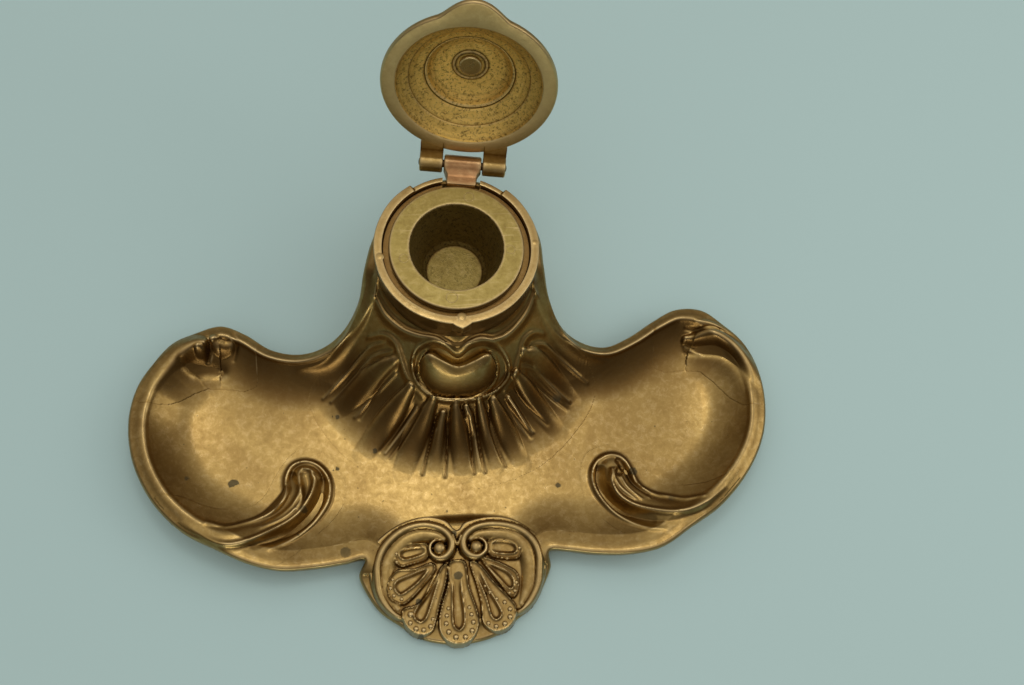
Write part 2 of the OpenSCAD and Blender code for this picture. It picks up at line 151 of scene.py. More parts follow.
# The brace-shaped lip under the collar, and the straps beside the cartouche
BRACE = (
    (-26, -12, 0.9, 0.8), (-23, -17.5, 1, 1.3), (-18, -22, 1.1, 1.5), (-12.7, -24.6, 1.1, 1.5),
    (-7.3, -26, 1, 1.4), (-3.8, -27.6, 1, 1.4), (-0.3, -29, 1.1, 1.6), (3, -27.4, 1, 1.4),
    (7, -26.2, 1, 1.4), (12.4, -25.9, 1.1, 1.5), (17, -23.6, 1.1, 1.5), (22, -18.4, 1, 1.3),
    (25, -12.5, 0.9, 0.8),
)
STRAPS = (
    ((-28.5, -20.6, 0.7, 0.5), (-23.8, -21.6, 0.9, 1), (-20.4, -24.2, 1, 1.2), (-18.8, -28, 1.1, 1.2),
     (-17, -32.4, 1.1, 1.1), (-14.4, -36, 1, 0.9), (-11.6, -38.8, 0.8, 0.6)),
    ((28.5, -21, 0.7, 0.5), (24.6, -22, 0.9, 0.9), (21.6, -24.6, 1, 1), (20.4, -28.2, 1, 0.9),
     (18.6, -33, 1, 0.8), (15.5, -37.4, 0.8, 0.5)),
)
# The kidney-shaped cartouche: its frame, and the boss inside it
CARTOUCHE = (
    (-0.3, -29.8), (3.8, -28), (8.6, -26.8), (13.4, -27.6), (16.4, -30.6), (16.2, -34.2),
    (12.4, -37.8), (6.6, -39.9), (0, -40.5), (-6.4, -39.8), (-11, -37.4), (-14, -34),
    (-14.9, -30.4), (-13.4, -27.2), (-9.2, -26.6), (-4.4, -28),
)
BOSS = (
    (-0.5, -31.4), (3.6, -30.2), (7.6, -28.9), (10.8, -29.4), (12.4, -32), (11.2, -35.4),
    (7, -38.2), (0, -39.3), (-6.5, -38.4), (-10.8, -35.6), (-12.6, -31.8), (-11.2, -28.9),
    (-8, -28.4), (-4, -30.2),
)
# Lines along both outlines: how far inside they run, half width, height
FRAME_LINE = (0, 0.6, 1.3)
BOSS_LINE = (-0.5, 0.45, 0.9)
FRAME_SLOPE = 1.2
FRAME_DEEP = 0.9
# Width of the boss's rounded edge and its height, and the dished upper part
BOSS_EDGE = 5.4
BOSS_RISE = 5
BOSS_DISH = ((-9.4, -27.8, 1.5, 0.4), (-5, -29.2, 2.2, 1.5), (0, -30.4, 2.5, 1.8), (5, -29.4, 2.2, 1.5),
             (9.2, -28.2, 1.5, 0.4))
# The C-scrolls that the rolled edge runs out into at the front of each lobe
SCROLL_BODIES = (
    ((-84, -78, 1.5, 0.1), (-77, -80.4, 3, 1), (-70, -79.6, 4.4, 2.2), (-62, -76.6, 5.4, 3),
     (-56.4, -72, 5.8, 3.4), (-52, -66.5, 6, 3.4), (-50.4, -61, 5.2, 2.8)),
    ((80, -76.5, 1.5, 0.1), (73, -77.8, 3, 1), (66, -77.4, 4.4, 2.2), (59, -74.4, 5.4, 3),
     (54, -70.4, 5.8, 3.4), (51, -65.6, 5.8, 3.2), (50.6, -61.6, 4.8, 2.6)),
)
SCROLL_RIDGES = (
    ((-88, -75.5, 1.1, 0.2), (-80, -81.2, 1.1, 0.8), (-75, -83.2, 1.1, 1.3), (-70, -82.9, 1.1, 1.5),
     (-65, -80.9, 1, 1.6), (-60, -78.3, 1, 1.7), (-55, -75.2, 1, 1.7), (-51.4, -71.8, 1, 1.7),
     (-48.6, -67, 1, 1.6), (-47.2, -62, 0.9, 1.2), (-48.4, -59.4, 0.8, 0.5)),
    ((-80.6, -75.6, 0.7, 0.4), (-75, -77, 0.8, 0.8), (-68, -75.2, 0.9, 1.1), (-62, -72.9, 0.9, 1.2),
     (-58.6, -69.9, 0.9, 1.3), (-56.8, -66, 0.9, 1.3), (-56.8, -60.6, 0.9, 1.4), (-54.8, -56.6, 0.9, 1.4),
     (-51, -55.2, 0.9, 1.3), (-47, -56.4, 0.9, 1.3), (-44, -59.6, 0.9, 1.4), (-42.7, -63.6, 0.9, 1.4),
     (-43.4, -69, 0.9, 1.4), (-46.6, -74.3, 0.9, 1.3), (-50.4, -78.3, 0.8, 1.1), (-55.4, -81.9, 0.8, 0.9),
     (-61.4, -84.6, 0.8, 0.2)),
    ((-51.8, -64, 0.6, 0.5), (-51.6, -68, 0.7, 0.9), (-53.6, -71.6, 0.7, 0.9), (-57.6, -74.8, 0.7, 0.6),
     (-64, -77.6, 0.6, 0.2)),
    ((-51.4, -57.6, 0.6, 0.3), (-47.8, -58.8, 0.6, 0.7), (-45.8, -61.6, 0.6, 0.7), (-45.4, -65, 0.6, 0.2)),
    ((86, -71.8, 1.1, 0.2), (80, -76, 1.1, 0.6), (74, -78.6, 1.1, 1), (68, -79, 1.1, 1.4),
     (62, -77.6, 1, 1.6), (56.6, -75.6, 1, 1.8), (53, -73.2, 1, 1.8), (50.8, -70.4, 1, 1.7),
     (49.8, -66.6, 0.9, 1.5), (50.4, -62.8, 0.8, 1)),
    ((78.6, -74.2, 0.7, 0.4), (73, -74.6, 0.8, 0.9), (68, -73, 0.9, 1.1), (64, -71.6, 0.9, 1.2),
     (60, -69, 0.9, 1.3), (58, -65.8, 0.9, 1.4), (56.8, -62.2, 0.9, 1.4), (55.2, -59.2, 0.9, 1.4),
     (52.8, -57.4, 0.9, 1.4), (49.6, -57.2, 0.9, 1.3), (46.6, -58.7, 0.9, 1.3), (44.5, -61.6, 0.9, 1.4),
     (43.9, -65.2, 0.9, 1.4), (44.8, -69.2, 0.9, 1.4), (47.2, -73.6, 0.9, 1.4), (50.6, -77.8, 0.9, 1.2),
     (55.4, -81.4, 0.8, 0.9), (60.4, -83.6, 0.8, 0.5), (65, -84.4, 0.8, 0.1)),
    ((51.6, -62.4, 0.5, 0.6), (50.9, -65.4, 0.6, 0.8), (52.6, -69.4, 0.6, 0.8), (57, -73.4, 0.6, 0.3)),
    ((53.2, -65.6, 0.5, 0.5), (54.8, -69.2, 0.5, 0.7), (59, -73.4, 0.5, 0.3)),
    ((54.8, -64.4, 0.5, 0.5), (56.6, -68.4, 0.5, 0.7), (61.6, -73.2, 0.5, 0.3)),
)
SCROLL_HOLLOWS = (
    ((-50.4, -59.6, 2, 1.2), (-50, -63.6, 2, 1.8), (-50.8, -67.4, 1.5, 1.2), (-53, -70.4, 1.2, 0.4)),
    ((-54.6, -59.6, 1.4, 0.8), (-54.2, -66, 1.6, 1.2), (-58, -71.6, 1.4, 0.9), (-66, -76.4, 1.2, 0.2)),
    ((-45, -62, 1.2, 0.5), (-46.4, -68.6, 2, 1.3), (-50.4, -74.6, 2.2, 1.4), (-57, -79.4, 2.2, 1.1),
     (-66, -83, 2, 0.3)),
    ((52.6, -63.6, 1.6, 1.5), (53.4, -62, 1.2, 0.8)),
    ((53, -59.6, 1.4, 1), (55.4, -63.4, 1.4, 1.6), (57, -67.8, 1.3, 1.2), (61, -71.6, 1.2, 0.4)),
    ((46.8, -62, 1.6, 0.8), (46.6, -67, 2, 1.4), (49, -72.4, 2, 1.4), (53.4, -77, 2, 1.2), (61, -81, 2, 0.3)),
)
# The curls that end the rolled edge at the back of each lobe
CURL_SWELLS = (
    ((-101, -31, 3, 0.1), (-97, -24, 4.4, 1), (-91.4, -18.8, 5, 1.8), (-86, -16.8, 4.2, 2),
     (-83, -17.4, 3.4, 2)),
    ((-84, -18.2, 2.9, 2.7), (-83.4, -18.3, 2.9, 2.7)),
    ((-79.4, -15.6, 2.2, 1), (-77.4, -17.4, 2.9, 1.9), (-75, -17.2, 2.2, 1.2), (-72.6, -15.6, 1.2, 0.2)),
    ((103, -38, 2.4, 0.1), (100.6, -31.6, 3, 1), (96.4, -24.6, 3.3, 1.9), (91, -19.8, 3.2, 2.2),
     (86, -18.8, 2.8, 2.2), (82, -19, 2.2, 2), (79.6, -18.8, 1.7, 1.8)),
)
CURL_GROOVES = (
    ((-81.4, -14.4, 0.6, 0.5), (-80.8, -17.6, 0.6, 1.3), (-81.8, -21.2, 0.6, 0.7)),
    ((-90, -22, 1.6, 0.6), (-85, -23.8, 2.2, 1.7), (-78, -24, 2.2, 1)),
    ((-73.4, -13.4, 0.8, 0.4), (-72.6, -17, 0.9, 0.8), (-73.6, -20.6, 0.8, 0.3)),
    ((79.6, -15.6, 0.6, 0.4), (83.4, -16.2, 0.7, 1.1), (88, -16.3, 0.7, 1.2), (92.6, -17.6, 0.7, 1),
     (97, -21.4, 0.7, 0.5), (100.4, -27, 0.7, 0.1)),
    ((80.6, -22.4, 1.4, 0.6), (86, -22.6, 1.8, 1.6), (92.4, -24.6, 2, 1.6), (97, -30.6, 1.8, 0.9),
     (98.6, -38, 1.4, 0.2)),
)
CURL_RIDGES = (
    ((83, -14, 0.7, 0.3), (88.6, -14.6, 0.8, 0.6), (94, -18, 0.8, 0.5), (98.4, -23, 0.8, 0.1)),
    ((78.8, -20, 0.6, 0.3), (80.8, -22, 0.7, 0.6), (84.4, -23.6, 0.7, 0.3)),
)
# The groove and bead that follow the rolled edge up both flanks of the tower
FLANK_RIDGES = (
    ((-52, -25.6, 0.8, 0.2), (-43.4, -24.6, 0.9, 0.6), (-36.4, -19.4, 0.9, 0.8), (-31, -13, 0.9, 0.6),
     (-28.4, -7, 0.8, 0.2)),
    ((50, -26.4, 0.8, 0.2), (42, -24.8, 0.9, 0.6), (35.4, -19.2, 0.9, 0.8), (30.2, -13, 0.9, 0.6),
     (27.8, -7, 0.8, 0.2)),
)

# The shell at the front. Its lobes are closed outlines, with a flute inside each of them
SHELL_LOBES = (
    ((-5.2, -91), (-6, -97.6), (-8.2, -104), (-9.6, -109.8), (-8.8, -113.6), (-6.2, -116.2), (-3, -117),
     (0.4, -116.2), (3, -113.4), (3.9, -109.6), (3, -105), (1.2, -99), (0, -91)),
    ((-7.6, -92), (-11.8, -99.2), (-15.4, -103.2), (-20.2, -104.6), (-20.9, -107.4), (-19.6, -110.6),
     (-16.8, -113), (-13.8, -113.6), (-11, -112.4), (-9.8, -109.8), (-8.4, -104.4), (-6.2, -97.6),
     (-5.4, -92)),
    ((-10.8, -90.8), (-16, -92.3), (-21.4, -92.4), (-24.6, -95.2), (-25.4, -99), (-24, -102.2),
     (-20.4, -103.8), (-17.2, -102), (-13.8, -98.6), (-9.4, -93.4)),
    ((-11.8, -84.8), (-16, -84.3), (-20.2, -84.8), (-22.8, -87), (-22.7, -89.8), (-20.6, -92), (-17.2, -91.5),
     (-11.8, -89.6)),
    ((1.2, -91.6), (3, -98.6), (4.2, -105), (4.1, -109.4), (5.2, -111.8), (8.2, -113.6), (12.2, -113),
     (15.2, -110.2), (15.9, -106.4), (14.4, -103.6), (9, -97.6), (4, -91.4)),
    ((4.8, -90.6), (9.6, -97.6), (13.6, -102.8), (15.8, -102.6), (17.2, -98.8), (16.4, -95), (12.6, -92.4),
     (6.6, -89.8)),
    ((7.6, -84.4), (12, -83.6), (16.2, -84.2), (18.6, -86.4), (18.7, -89), (16.8, -91.2), (12, -91),
     (7.6, -89.4)),
)
SHELL_FLUTES = (
    ((-4.4, -92), (-4.5, -100), (-4.8, -107.6), (-4.4, -111), (-2.9, -112.3), (-1.4, -111), (-0.9, -107.6),
     (-1.5, -100), (-1.7, -92)),
    ((-9.4, -94.4), (-13.4, -101.4), (-16.5, -105.8), (-16.6, -108), (-15, -109.2), (-13.2, -108.2),
     (-11.4, -104), (-8.2, -94.6)),
    ((-12, -92.8), (-17.6, -94.4), (-22, -96.2), (-22.6, -98.6), (-21, -100.4), (-18.6, -99.4),
     (-14.6, -96.4)),
    ((-13, -86), (-17, -85.9), (-20.4, -86.8), (-20.8, -88.6), (-18.6, -89.6), (-13, -88)),
    ((2.8, -93.6), (6, -102.6), (7.3, -108), (8.9, -109.7), (10.7, -108.4), (10.2, -105.8), (6.8, -99.4),
     (4.2, -93.6)),
    ((7, -92.2), (10.6, -97), (13.6, -100.2), (15.2, -99.4), (14.8, -96.6), (12, -94)),
    ((9, -85.4), (13.2, -85), (16.4, -86.6), (16.5, -88.8), (14, -89.3), (9, -88.4)),
)
# Its border: two crests that start at the joints with the tray and curl round the eyes
SHELL_STRAPS = (
    ((-20.4, -107.6, 0.8, 0.2), (-22.8, -106.4, 0.9, 0.9), (-25.4, -103.6, 1.3, 1.3),
     (-27.4, -99.6, 1.5, 1.6), (-28, -95, 1.6, 1.9),
     (-27.8, -90.6, 1.6, 2.2), (-26, -86.2, 1.7, 2.4), (-22.8, -82.6, 1.7, 2.5), (-18.4, -79.9, 1.7, 2.6),
     (-13.4, -78.9, 1.7, 2.7), (-9, -79.7, 1.7, 2.8), (-5.8, -81.6, 1.7, 2.8), (-4.1, -84.4, 1.7, 2.8),
     (-4.4, -87.2, 1.7, 2.8), (-6.2, -89.2, 1.6, 2.8), (-8.8, -89.6, 1.3, 2.6), (-10.8, -88, 1, 2.4),
     (-11, -85.6, 0.8, 2.2), (-9.4, -84, 0.7, 2), (-7.4, -84, 0.6, 1.8)),
    ((15.6, -107.6, 0.8, 0.2), (17.8, -106.6, 0.9, 0.9), (20.4, -104, 1.3, 1.3), (22.8, -99.6, 1.5, 1.6),
     (23.6, -95, 1.6, 1.9),
     (23.8, -90.4, 1.6, 2.2), (22.4, -86, 1.7, 2.4), (19, -82.4, 1.7, 2.5), (14.4, -80.4, 1.7, 2.6),
     (9, -79.6, 1.7, 2.7), (4.4, -80.2, 1.7, 2.8), (1.2, -82, 1.7, 2.8), (-0.4, -84.6, 1.7, 2.8),
     (0, -87.4, 1.7, 2.8), (1.8, -89.2, 1.6, 2.8), (4.4, -89.6, 1.3, 2.6), (6.6, -88, 1, 2.4),
     (6.8, -85.6, 0.8, 2.2), (5.2, -84, 0.7, 2), (3.2, -84, 0.6, 1.8)),
)
# The broad slopes inside those crests
SHELL_BANDS = (
    ((-22, -104.6, 1, 0.4), (-25, -99.6, 2.6, 1), (-25.4, -94.6, 3, 1.3), (-24.8, -90.4, 3.2, 1.6),
     (-22.4, -86.4, 3.3, 1.8), (-18.6, -83.2, 3.3, 1.9), (-13.6, -81.8, 3.2, 2), (-9, -82.4, 2.6, 2),
     (-6.6, -83.6, 1.8, 1.8)),
    ((17.4, -104.8, 1, 0.4), (20, -99.6, 2.6, 1), (20.8, -94.6, 3, 1.3), (20.6, -90.4, 3.2, 1.6),
     (18.8, -86, 3.3, 1.8), (14.8, -83.2, 3.3, 1.9), (9.2, -82.4, 3, 2), (4.6, -82.6, 2.6, 2),
     (2.2, -83.8, 1.8, 1.8)),
    ((-3.6, -82.6, 0.8, 2.5), (-2.3, -85.4, 0.8, 2.2), (-1, -82.8, 0.8, 2.5)),
)
SHELL_EYES = ((-8, -86.7), (3.7, -86.7))
EYE_R = 2
EYE_Z = 1.7
EYE_RISE = 1.5
# The flutes fade out towards the hub that they come from
SHELL_HUB = (-2, -87)


# How far a fine line reaches, in half widths, and how far round an outline its inside is reckoned
LINE_SPREAD = 2.2
OUTLINE_MARGIN = 4
FAR_OUTSIDE = -9.0
# Places dealt with at once, where each is compared with the whole edge
CHUNK = 8000


# Helper functions
def smooth(t):
    """Eases from 0 to 1 as t goes from 0 to 1."""
    s = np.clip(t, 0, 1)
    return s * s * (3 - 2 * s)


def lerp(a, b, t):
    return a + (b - a) * t


def linear(code):
    """An sRGB hex colour as the linear red, green, blue that shaders take."""
    parts = [int(code[i:i + 2], 16) / 255 for i in (1, 3, 5)]
    return tuple(c / 12.92 if c <= 0.04045 else ((c + 0.055) / 1.055) ** 2.4 for c in parts)


def between(a, b, c, d, t):
    """A place between rows b and c on the smooth line through all four."""
    return 0.5 * (2 * b + (c - a) * t + (2 * a - 5 * b + 4 * c - d) * t**2
                  + (3 * b - a - 3 * c + d) * t**3)


def smooth_line(rows, per_span=8, closed=False):
    """Points on a smooth line through rows of numbers, all of them carried along it."""
    p = np.array(rows, float)
    if closed:
        p = np.vstack([p[-1:], p, p[:2]])
    else:
        p = np.vstack([2 * p[:1] - p[1:2], p, 2 * p[-1:] - p[-2:-1]])
    t = (np.arange(per_span) / per_span)[:, None]
    spans = [between(*p[k:k + 4], t) for k in range(len(p) - 3)]
    return np.vstack(spans + ([] if closed else [p[-2:-1]]))


def nearest(x, y, path):
    """Distance to a path of rows x, y, ..., and the rows' other numbers at the nearest place."""
    best = np.full(x.shape, 1e9)
    found = np.zeros((path.shape[1] - 2,) + x.shape)
    for p, q in zip(path[:-1], path[1:]):
        dx, dy = q[:2] - p[:2]
        along = np.clip(((x - p[0]) * dx + (y - p[1]) * dy) / max(dx * dx + dy * dy, 1e-12), 0, 1)
        distance = np.hypot(x - p[0] - along * dx, y - p[1] - along * dy)
        closer = distance < best
        best = np.where(closer, distance, best)
        for k in range(len(found)):
            found[k] = np.where(closer, p[k + 2] + along * (q[k + 2] - p[k + 2]), found[k])
    return best, found


def trail(x, y, rows, shape):
    """Height of one trail of x, y, half width, height, with its cross-section given by shape."""
    path = smooth_line(rows)
    reach = path[:, 2].max() * (LINE_SPREAD if shape is line_back else 1)
    near = ((x > path[:, 0].min() - reach) & (x < path[:, 0].max() + reach)
            & (y > path[:, 1].min() - reach) & (y < path[:, 1].max() + reach))
    height = np.zeros(x.shape)
    if near.any():
        distance, (half, rise) = nearest(x[near], y[near], path)
        height[near] = rise * shape(distance / np.maximum(half, 0.05))
    return height


def highest(x, y, trails, shape):
    """The highest of several trails at each place, and 0 beside them."""
    return np.max([trail(x, y, rows, shape) for rows in trails], axis=0, initial=0)


def added_up(x, y, trails, shape):
    """The sum of several trails at each place."""
    return sum(trail(x, y, rows, shape) for rows in trails)


# Cross-sections of a trail, over the share of its half width
def round_back(s):
    return np.sqrt(np.clip(1 - s * s, 0, 1))


def soft_back(s):
    return np.clip(1 - s * s, 0, 1)


def petal_back(s):
    return soft_back(s) ** 0.8


def bell_back(s):
    return soft_back(s) ** 1.5


def line_back(s):
    return np.exp(-(s * 1.1) ** 2)


def inside_distance(x, y, closed_path):
    """Distance inside a closed outline, negative outside."""
    loop = np.vstack([closed_path, closed_path[:1]])
    distance, _ = nearest(x, y, loop)
    crossings = np.zeros(x.shape, bool)
    for p, q in zip(loop[:-1], loop[1:]):
        spans = (p[1] > y) != (q[1] > y)
        rise = q[1] - p[1]
        at = p[0] + (y - p[1]) * (q[0] - p[0]) / (rise if abs(rise) > 1e-12 else 1e-12)
        crossings ^= spans & (x < at)
    return np.where(crossings, distance, -distance)


def area_depth(x, y, outline, per_span=6):
    """Distance inside a smooth closed outline of control points, and FAR_OUTSIDE well outside it."""
    loop = smooth_line([(*p, 0.0) for p in outline], per_span, closed=True)
    low, high = loop.min(axis=0) - OUTLINE_MARGIN, loop.max(axis=0) + OUTLINE_MARGIN
    near = (x > low[0]) & (x < high[0]) & (y > low[1]) & (y < high[1])
    depth = np.full(x.shape, FAR_OUTSIDE)
    if near.any():
        depth[near] = inside_distance(x[near], y[near], loop)
    return depth


# Mesh helpers
def join_grid(rows, columns, wrap_rows=False, start=0):
    """Quads between rows of points that each close on themselves."""
    r = np.arange(rows if wrap_rows else rows - 1)[:, None]
    c = np.arange(columns)[None, :]
    after, beside = (r + 1) % rows, (c + 1) % columns
    quads = np.stack([r * columns + c, r * columns + beside, after * columns + beside,
                      after * columns + c], -1)
    return quads.reshape(-1, 4) + start


def place_object(name, data):
    made = bpy.data.objects.new(name, data)
    bpy.context.scene.collection.objects.link(made)
    return made


def make_mesh(name, points, faces=()):
    mesh = bpy.data.meshes.new(name)
    mesh.from_pydata((np.asarray(points) * MM).tolist(), [], [list(map(int, f)) for f in faces])
    mesh.validate()
    return place_object(name, mesh)


def apply_modifiers(made):
    """Puts the result of a piece's modifiers in the place of its mesh."""
    graph = bpy.context.evaluated_depsgraph_get()
    result = bpy.data.meshes.new_from_object(made.evaluated_get(graph))
    made.modifiers.clear()
    made.data = result


def face_outwards(made):
    """Merges doubles and points every face of a closed piece outwards."""
    shape = bmesh.new()
    shape.from_mesh(made.data)
    bmesh.ops.remove_doubles(shape, verts=shape.verts, dist=1e-6)
    bmesh.ops.recalc_face_normals(shape, faces=shape.faces)
    shape.to_mesh(made.data)
    shape.free()


def cut(made, cutter):
    """Takes a closed cutter out of a closed piece, and deletes the cutter."""
    difference = made.modifiers.new("cut", "BOOLEAN")
    difference.operation = "DIFFERENCE"
    difference.solver = "MANIFOLD"
    difference.object = cutter
    apply_modifiers(made)
    bpy.data.objects.remove(cutter)


def numbers_of(items, name, width, kind=float):
    """One property of all the items of a mesh, as rows of that width."""
    found = np.zeros(len(items) * width, kind)
    items.foreach_get(name, found)
    return found.reshape(-1, width)


def hollowness(mesh, passes=3):
    """How much each vertex lies in a hollow, from about -1 on an edge to 1 in a groove."""
    count = len(mesh.vertices)
    co = numbers_of(mesh.vertices, "co", 3) / MM
    normals = numbers_of(mesh.vertices, "normal", 3)
    a, b = numbers_of(mesh.edges, "vertices", 2, int).T
    step = co[b] - co[a]
    length = np.maximum(np.linalg.norm(step, axis=1), 1e-4)
    bend_a = (step * normals[a]).sum(1) / length**2
    bend_b = -(step * normals[b]).sum(1) / length**2
    weight = np.bincount(a, minlength=count) + np.bincount(b, minlength=count)
    weight = np.maximum(weight, 1)
    value = np.bincount(a, bend_a, count) + np.bincount(b, bend_b, count)
    value = np.clip(value / weight, -1, 1)
    for _ in range(passes):
        around = np.bincount(a, value[b], count) + np.bincount(b, value[a], count)
        value = 0.4 * value + 0.6 * around / weight
    return value


def paint(made, name, values):
    """Gives the vertices numbers that the finishes read."""
    layer = made.data.attributes.new(name, "FLOAT", "POINT")
    layer.data.foreach_set("value", np.asarray(values, np.float32))


def dress(made, finish, body, nodes=(), sharp_angle=50):
    """Shades a finished piece, paints its hollows, and hands it to the frame."""
    made.data.shade_smooth()
    made.data.set_sharp_from_angle(angle=math.radians(sharp_angle))
    hollow = hollowness(made.data)
    if "calm" in made.data.attributes:
        hollow *= numbers_of(made.data.attributes["calm"].data, "value", 1)[:, 0]
    paint(made, "hollow", hollow)
    made.data.materials.clear()
    made.data.materials.append(finish)
    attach(made, body)
    if nodes:
        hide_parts(*nodes)
    return made


def well_frame(points):
    """Points from the well's axis to the object's frame."""
    return np.asarray(points, float) + np.array([WELL[0], WELL[1], 0])


def from_well(made):
    """A piece's vertices in millimetres from the well's axis."""
    return numbers_of(made.data.vertices, "co", 3) / MM - np.array([WELL[0], WELL[1], 0])


def hinge_frame(points):
    """Points from the hinge's own frame, x along the pin, to the object's frame."""
    across = np.array([-HINGE_AXIS[1], HINGE_AXIS[0], 0])
    turn = np.stack([HINGE_AXIS, across, [0, 0, 1]])
    return np.asarray(points, float) @ turn + HINGE_POINT


def swung_open(points):
    """Points of the closed lid in the hinge's frame, swung open and put in place."""
    c, s = math.cos(OPEN_ANGLE), math.sin(OPEN_ANGLE)
    turn = np.array([[1, 0, 0], [0, c, s], [0, -s, c]])
    return hinge_frame(np.asarray(points, float) @ turn.T)


def rounded(profile, radius, arc=4, closed=True):
    """A profile with each corner eased by an arc of about that radius."""
    p = np.array(profile, float)
    count = len(p)
    out = []
    for i in range(count):
        if not closed and i in (0, count - 1):
            out.append(p[i])
            continue
        before, after = p[i - 1] - p[i], p[(i + 1) % count] - p[i]
        ease = min(radius, 0.47 * np.linalg.norm(before), 0.47 * np.linalg.norm(after))
        start = p[i] + before / np.linalg.norm(before) * ease
        end = p[i] + after / np.linalg.norm(after) * ease
        for t in np.linspace(0, 1, arc + 1):
            out.append((1 - t) ** 2 * start + 2 * t * (1 - t) * p[i] + t * t * end)
    return np.array(out)


def refine(profile, step):
    """An open profile with points no further apart than step."""
    out = [profile[0]]
    for a, b in zip(profile[:-1], profile[1:]):
        parts = max(1, int(math.ceil(np.linalg.norm(b - a) / step)))
        out.extend(a + (b - a) * k / parts for k in range(1, parts + 1))
    return np.array(out)


def turned(profile, around):
    """Grid of points of a profile of radius, height turned about the z axis."""
    az = np.arange(around) * 2 * math.pi / around
    r, z = np.asarray(profile)[:, :1], np.asarray(profile)[:, 1:]
    return np.stack([r * np.cos(az), r * np.sin(az), np.broadcast_to(z, (len(profile), around))], -1)


def turned_piece(name, profile, around, place=well_frame, ring=False):
    """A closed piece turned about z; its profile starts and ends on the axis, or is a ring."""
    points = turned(profile, around).reshape(-1, 3)
    made = make_mesh(name, place(points), join_grid(len(profile), around, wrap_rows=ring))
    face_outwards(made)
    return made


# Finishes
def add_node(tree, kind, inputs=None, out=0, **settings):
    """Adds a node; an input takes a value or another node's output. Gives one of its outputs."""
    node = tree.nodes.new(kind)
    for name, value in settings.items():
        setattr(node, name, value)
    for name, value in (inputs or {}).items():
        socket = node.inputs[name]
        if isinstance(value, bpy.types.NodeSocket):
            tree.links.new(value, socket)
        elif socket.type == "RGBA":
            socket.default_value = (*value, 1)
        else:
            socket.default_value = value
    return node.outputs[out] if len(node.outputs) else node


def new_tree(name):
    """A new material and its empty node tree."""
    material = bpy.data.materials.new(name)
    material.use_nodes = True
    material.node_tree.nodes.clear()
    return material, material.node_tree


# Spots of corrosion on the basin's floor: cell size in mm, the chance that a cell has none,
# and the largest spot as a share of its cell
PITS = ((12, 0.64, 0.162), (4, 0.84, 0.156))
PIT_COLOUR = "#3f3d30"
# Directions of the scratches on the cup's flange: turn, waves along them to a metre
SCRATCHES = ((0.5, 60.0), (-0.1, 45.0))
SCRATCH_WAVES = 1400


